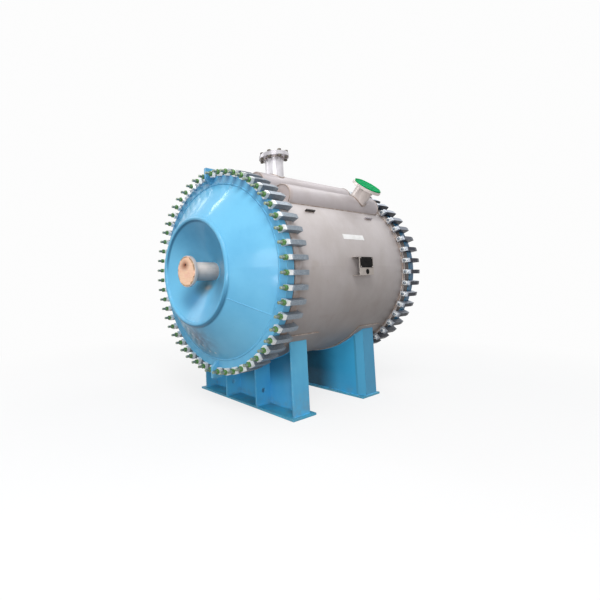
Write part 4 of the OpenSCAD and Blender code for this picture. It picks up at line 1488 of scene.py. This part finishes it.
def sleeve_ring(seat, tip, ridges):
    """One sleeve for every bolt of a cover, from the nut's outer face to the stud's tip."""
    sleeves = []
    y, radius = thread_rows(seat - NUT_T, tip, ridges)
    radius = np.repeat(radius[:, None], THREAD_SIDES, axis=1)
    for centre, sideways, out in zip(*bolt_frames()):
        points, inside = turned(centre, sideways, out, y, radius, THREAD_SIDES)
        sleeves.append((points, False, True, inside))
    return sleeves


make_piece("stud_threads", "thread_plating", sleeve_ring(FRONT_SEAT, front_tip, 9))
make_piece("rear_stud_threads", "bolt_steel", sleeve_ring(REAR_SEAT, rear_tip, 2))

# %% [markdown]
# ## Chamfered nuts
# A real nut has its corners cut at thirty degrees on both faces, so its outline turns from
# a circle to a hexagon. Twelve points go round: six on the corners and six on the flats.
# The rows run from the bore over the face, down the flats and back to the bore. The front
# nuts are olive, the rear ones are bright plated like the blocks that they press on.

# %% Nuts
NUT_FLATS = 0.041
NUT_SIDES = 12
NUT_BORE = STUD_R + 0.0003
FACE_SHARE = 0.96
CUT_SHARE = 1.1


def nut_sheet(centre, sideways, out, seat):
    """Rows from bore to face circle to hexagon and back; a corner is half the flats / cos 30."""
    half = NUT_FLATS / 2
    corner = half / math.cos(math.pi / 6)
    outline = np.where(np.arange(NUT_SIDES) % 2 == 0, corner, half)
    face = np.full(NUT_SIDES, half * FACE_SHARE)
    hole = np.full(NUT_SIDES, NUT_BORE)
    cut = (corner - half) * CUT_SHARE
    radius = np.stack([hole, face, outline, outline, face, hole])
    y = seat - np.array([0.0, 0.0, cut, NUT_T - cut, NUT_T, NUT_T])
    points, _ = turned(centre, sideways, out, y, radius, NUT_SIDES, math.pi / 2)
    return points, True, True, points.mean(axis=0, keepdims=True)


def nut_ring(seat):
    """One nut for every bolt of a cover, all lying on one face."""
    return [nut_sheet(*place, seat) for place in zip(*bolt_frames())]


front_ring = make_piece("olive_nuts", "nut_coating", nut_ring(FRONT_SEAT), smooth=False)
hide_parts("front_nuts")
rear_ring = make_piece("plated_nuts", "clamp_plating", nut_ring(REAR_SEAT), smooth=False)
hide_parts("rear_nuts")

# %% [markdown]
# ## Bells and turned shapes
# A bell curve is a soft bump and a soft step is its edge. A turned shape carries a row of
# radii and heights round an axis. If the height may also change with the turn, ribs can
# stand on the shape, so one helper makes the cap, its pegs and the heads of the rivets.

# %% Bells and turned shapes
def bell(value, middle, width):
    """A smooth bump: e to the minus of the squared distance over the width."""
    return np.exp(-((value - middle) / width) ** 2)


def step_up(value, place, width):
    """A soft step from 0 to 1 at a place: 1 over 1 plus e to the minus distance over width."""
    return 1.0 / (1.0 + np.exp((place - value) / width))


def revolved(base, way, first, second, radius, height, sides):
    """A turned shape: base + height x way + radius x (cos first + sin second)."""
    turn = np.arange(sides) * 2.0 * math.pi / sides
    ring = np.cos(turn)[:, None] * first + np.sin(turn)[:, None] * second
    height = np.broadcast_to(np.asarray(height), (len(radius), sides))
    points = base + height[:, :, None] * way + np.asarray(radius)[:, None, None] * ring[None]
    return points, False, True, points.mean(axis=(0, 1), keepdims=True)


print("a bell is", bell(0.0, 0.0, 1.0), "high in its middle")

# %% [markdown]
# ## The moulded cap
# The green cap on the inclined nozzle is a thin plastic moulding: a shallow dish with a
# raised rim, two rings and eight ribs that stiffen it, and pegs that go into the bolt
# holes of the flange. Its height is a function of the radius and the turn: the rings are
# bell curves of the radius, and the ribs are bell curves of the way to the nearest spoke.

# %% Green cap
CAP_R = 0.1297
CAP_T = 0.012
CAP_SKIN = 0.0045
CAP_SIDES = 144
RIBS = 8
RIB_RISE = 0.004
RIB_WIDTH = 0.003
RING_AT = (0.040, 0.108)
PEG_AT = 0.12065
PEG_RADIUS = [0.0, 0.006, 0.009, 0.009, 0.014, 0.014, 0.012, 0.0]
PEG_HEIGHT = np.array([-0.032, -0.032, -0.029, 0.0040, 0.0040, 0.0100, 0.0115, 0.0115])
LENGTHWAYS = np.array(AXIS_WAY)
cap_base = box_middle("side_nozzle_blank") - side_out * CAP_T / 2


def cap_height(radius):
    """Skin + ribs x (rings + spokes) + rim, all bells: of the radius or of the way off a spoke."""
    turn = np.arange(CAP_SIDES) * 2.0 * math.pi / CAP_SIDES
    off_spoke = np.abs(np.mod(turn, 2.0 * math.pi / RIBS) - math.pi / RIBS)
    between_rings = step_up(radius, RING_AT[0], 0.002) * (1.0 - step_up(radius, RING_AT[1], 0.002))
    rings = bell(radius, RING_AT[0], RIB_WIDTH) + bell(radius, RING_AT[1], RIB_WIDTH)
    spokes = bell(radius[:, None] * np.sin(off_spoke)[None, :], 0.0, RIB_WIDTH) * between_rings[:, None]
    rim = (CAP_T - CAP_SKIN - 0.0005) * bell(radius, CAP_R - 0.004, 0.004)
    return CAP_SKIN + RIB_RISE * np.clip(rings[:, None] + spokes, 0.0, 1.0) + rim[:, None]


cap_radius = np.linspace(0.0, CAP_R, 64)
cap_rise = np.concatenate([cap_height(cap_radius), np.zeros((2, CAP_SIDES))])
cap_radius = np.concatenate([cap_radius, [CAP_R, 0.0]])
cap_sheets = [revolved(cap_base, side_out, side_across, LENGTHWAYS, cap_radius, cap_rise, CAP_SIDES)]
for k in range(RIBS):
    turn = (k + 0.5) * 2.0 * math.pi / RIBS
    peg_base = cap_base + PEG_AT * (math.cos(turn) * side_across + math.sin(turn) * LENGTHWAYS)
    cap_sheets.append(revolved(
        peg_base, side_out, side_across, LENGTHWAYS, PEG_RADIUS, PEG_HEIGHT[:, None], 16))
green_cap = make_piece("green_cap", "cap_plastic", cap_sheets)
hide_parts("side_nozzle_blank")

# %% [markdown]
# ## Plate, rivets and tag
# Four domed rivets hold the black nameplate to its bracket. A rivet head is a quarter
# circle turned about its axis, sunk a hair into the plate so that no gap shows.

# %% Rivets
plate_low, plate_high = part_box("nameplate")
FACE_WAY = np.array([1.0, 0.0, 0.0])
RIVET_R = 0.0045
RIVET_RISE = 0.0028
INSET = 0.008
SUNK = 0.0002


def dome(base, radius, rise):
    """A rivet head: radius x cos and rise x sin of a quarter turn, closed at the back."""
    part = np.linspace(0.0, math.pi / 2, 6)
    rows = np.concatenate([[0.0], radius * np.cos(part)])
    height = np.concatenate([[0.0], rise * np.sin(part)])
    return revolved(base, FACE_WAY, LENGTHWAYS, np.array(UP_WAY), rows, height[:, None], 16)


rivets = []
for y in (plate_low.y + INSET, plate_high.y - INSET):
    for z in (plate_low.z + INSET, plate_high.z - INSET):
        rivets.append(dome(np.array([plate_high.x - SUNK, y, z]), RIVET_R, RIVET_RISE))
make_piece("plate_rivets", "nozzle_steel", rivets)

# %% [markdown]
# ## What is pressed in the plate
# The nameplate is bare, as the machine is shown without a maker. A raised border and a few
# plain ruled lines are pressed in it. They are made like thin weld beads, half sunk in the
# plate. The round tag beside it has a raised ring of the same kind and a knob in its middle.

# %% Border and ruled lines
def plate_line(y_from, z_from, y_to, z_to, radius):
    """A thin straight bead on the face of the plate."""
    line = [(plate_high.x, y_from, z_from), (plate_high.x, y_to, z_to)]
    return bead(line, radius, FACE_WAY, ripple=0.02)


BORDER = 0.0035
BORDER_LINE = 0.0012
RULED_LINE = 0.0006
MARGIN = 0.016
ROW_STEP = 0.014
tag_low, tag_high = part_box("round_tag")
tag_at = np.array([tag_high.x - SUNK, (tag_low.y + tag_high.y) / 2, (tag_low.z + tag_high.z) / 2])
y_near, y_far = plate_low.y + BORDER, plate_high.y - BORDER
z_foot, z_head = plate_low.z + BORDER, plate_high.z - BORDER
relief = [
    plate_line(y_near, z_foot, y_far, z_foot, BORDER_LINE),
    plate_line(y_near, z_head, y_far, z_head, BORDER_LINE),
    plate_line(y_near, z_foot, y_near, z_head, BORDER_LINE),
    plate_line(y_far, z_foot, y_far, z_head, BORDER_LINE),
]
for row in range(5):
    z = z_foot + ROW_STEP + row * ROW_STEP
    relief.append(plate_line(y_near + MARGIN, z, y_far - MARGIN, z, RULED_LINE))
relief.append(dome(tag_at, 0.005, 0.002))
tag_ring = circle_about(tag_at, FACE_WAY, 0.018)
relief.append(bead(tag_ring, BORDER_LINE, FACE_WAY, True, ripple=0.01))
make_piece("plate_relief", "plate_black", relief)
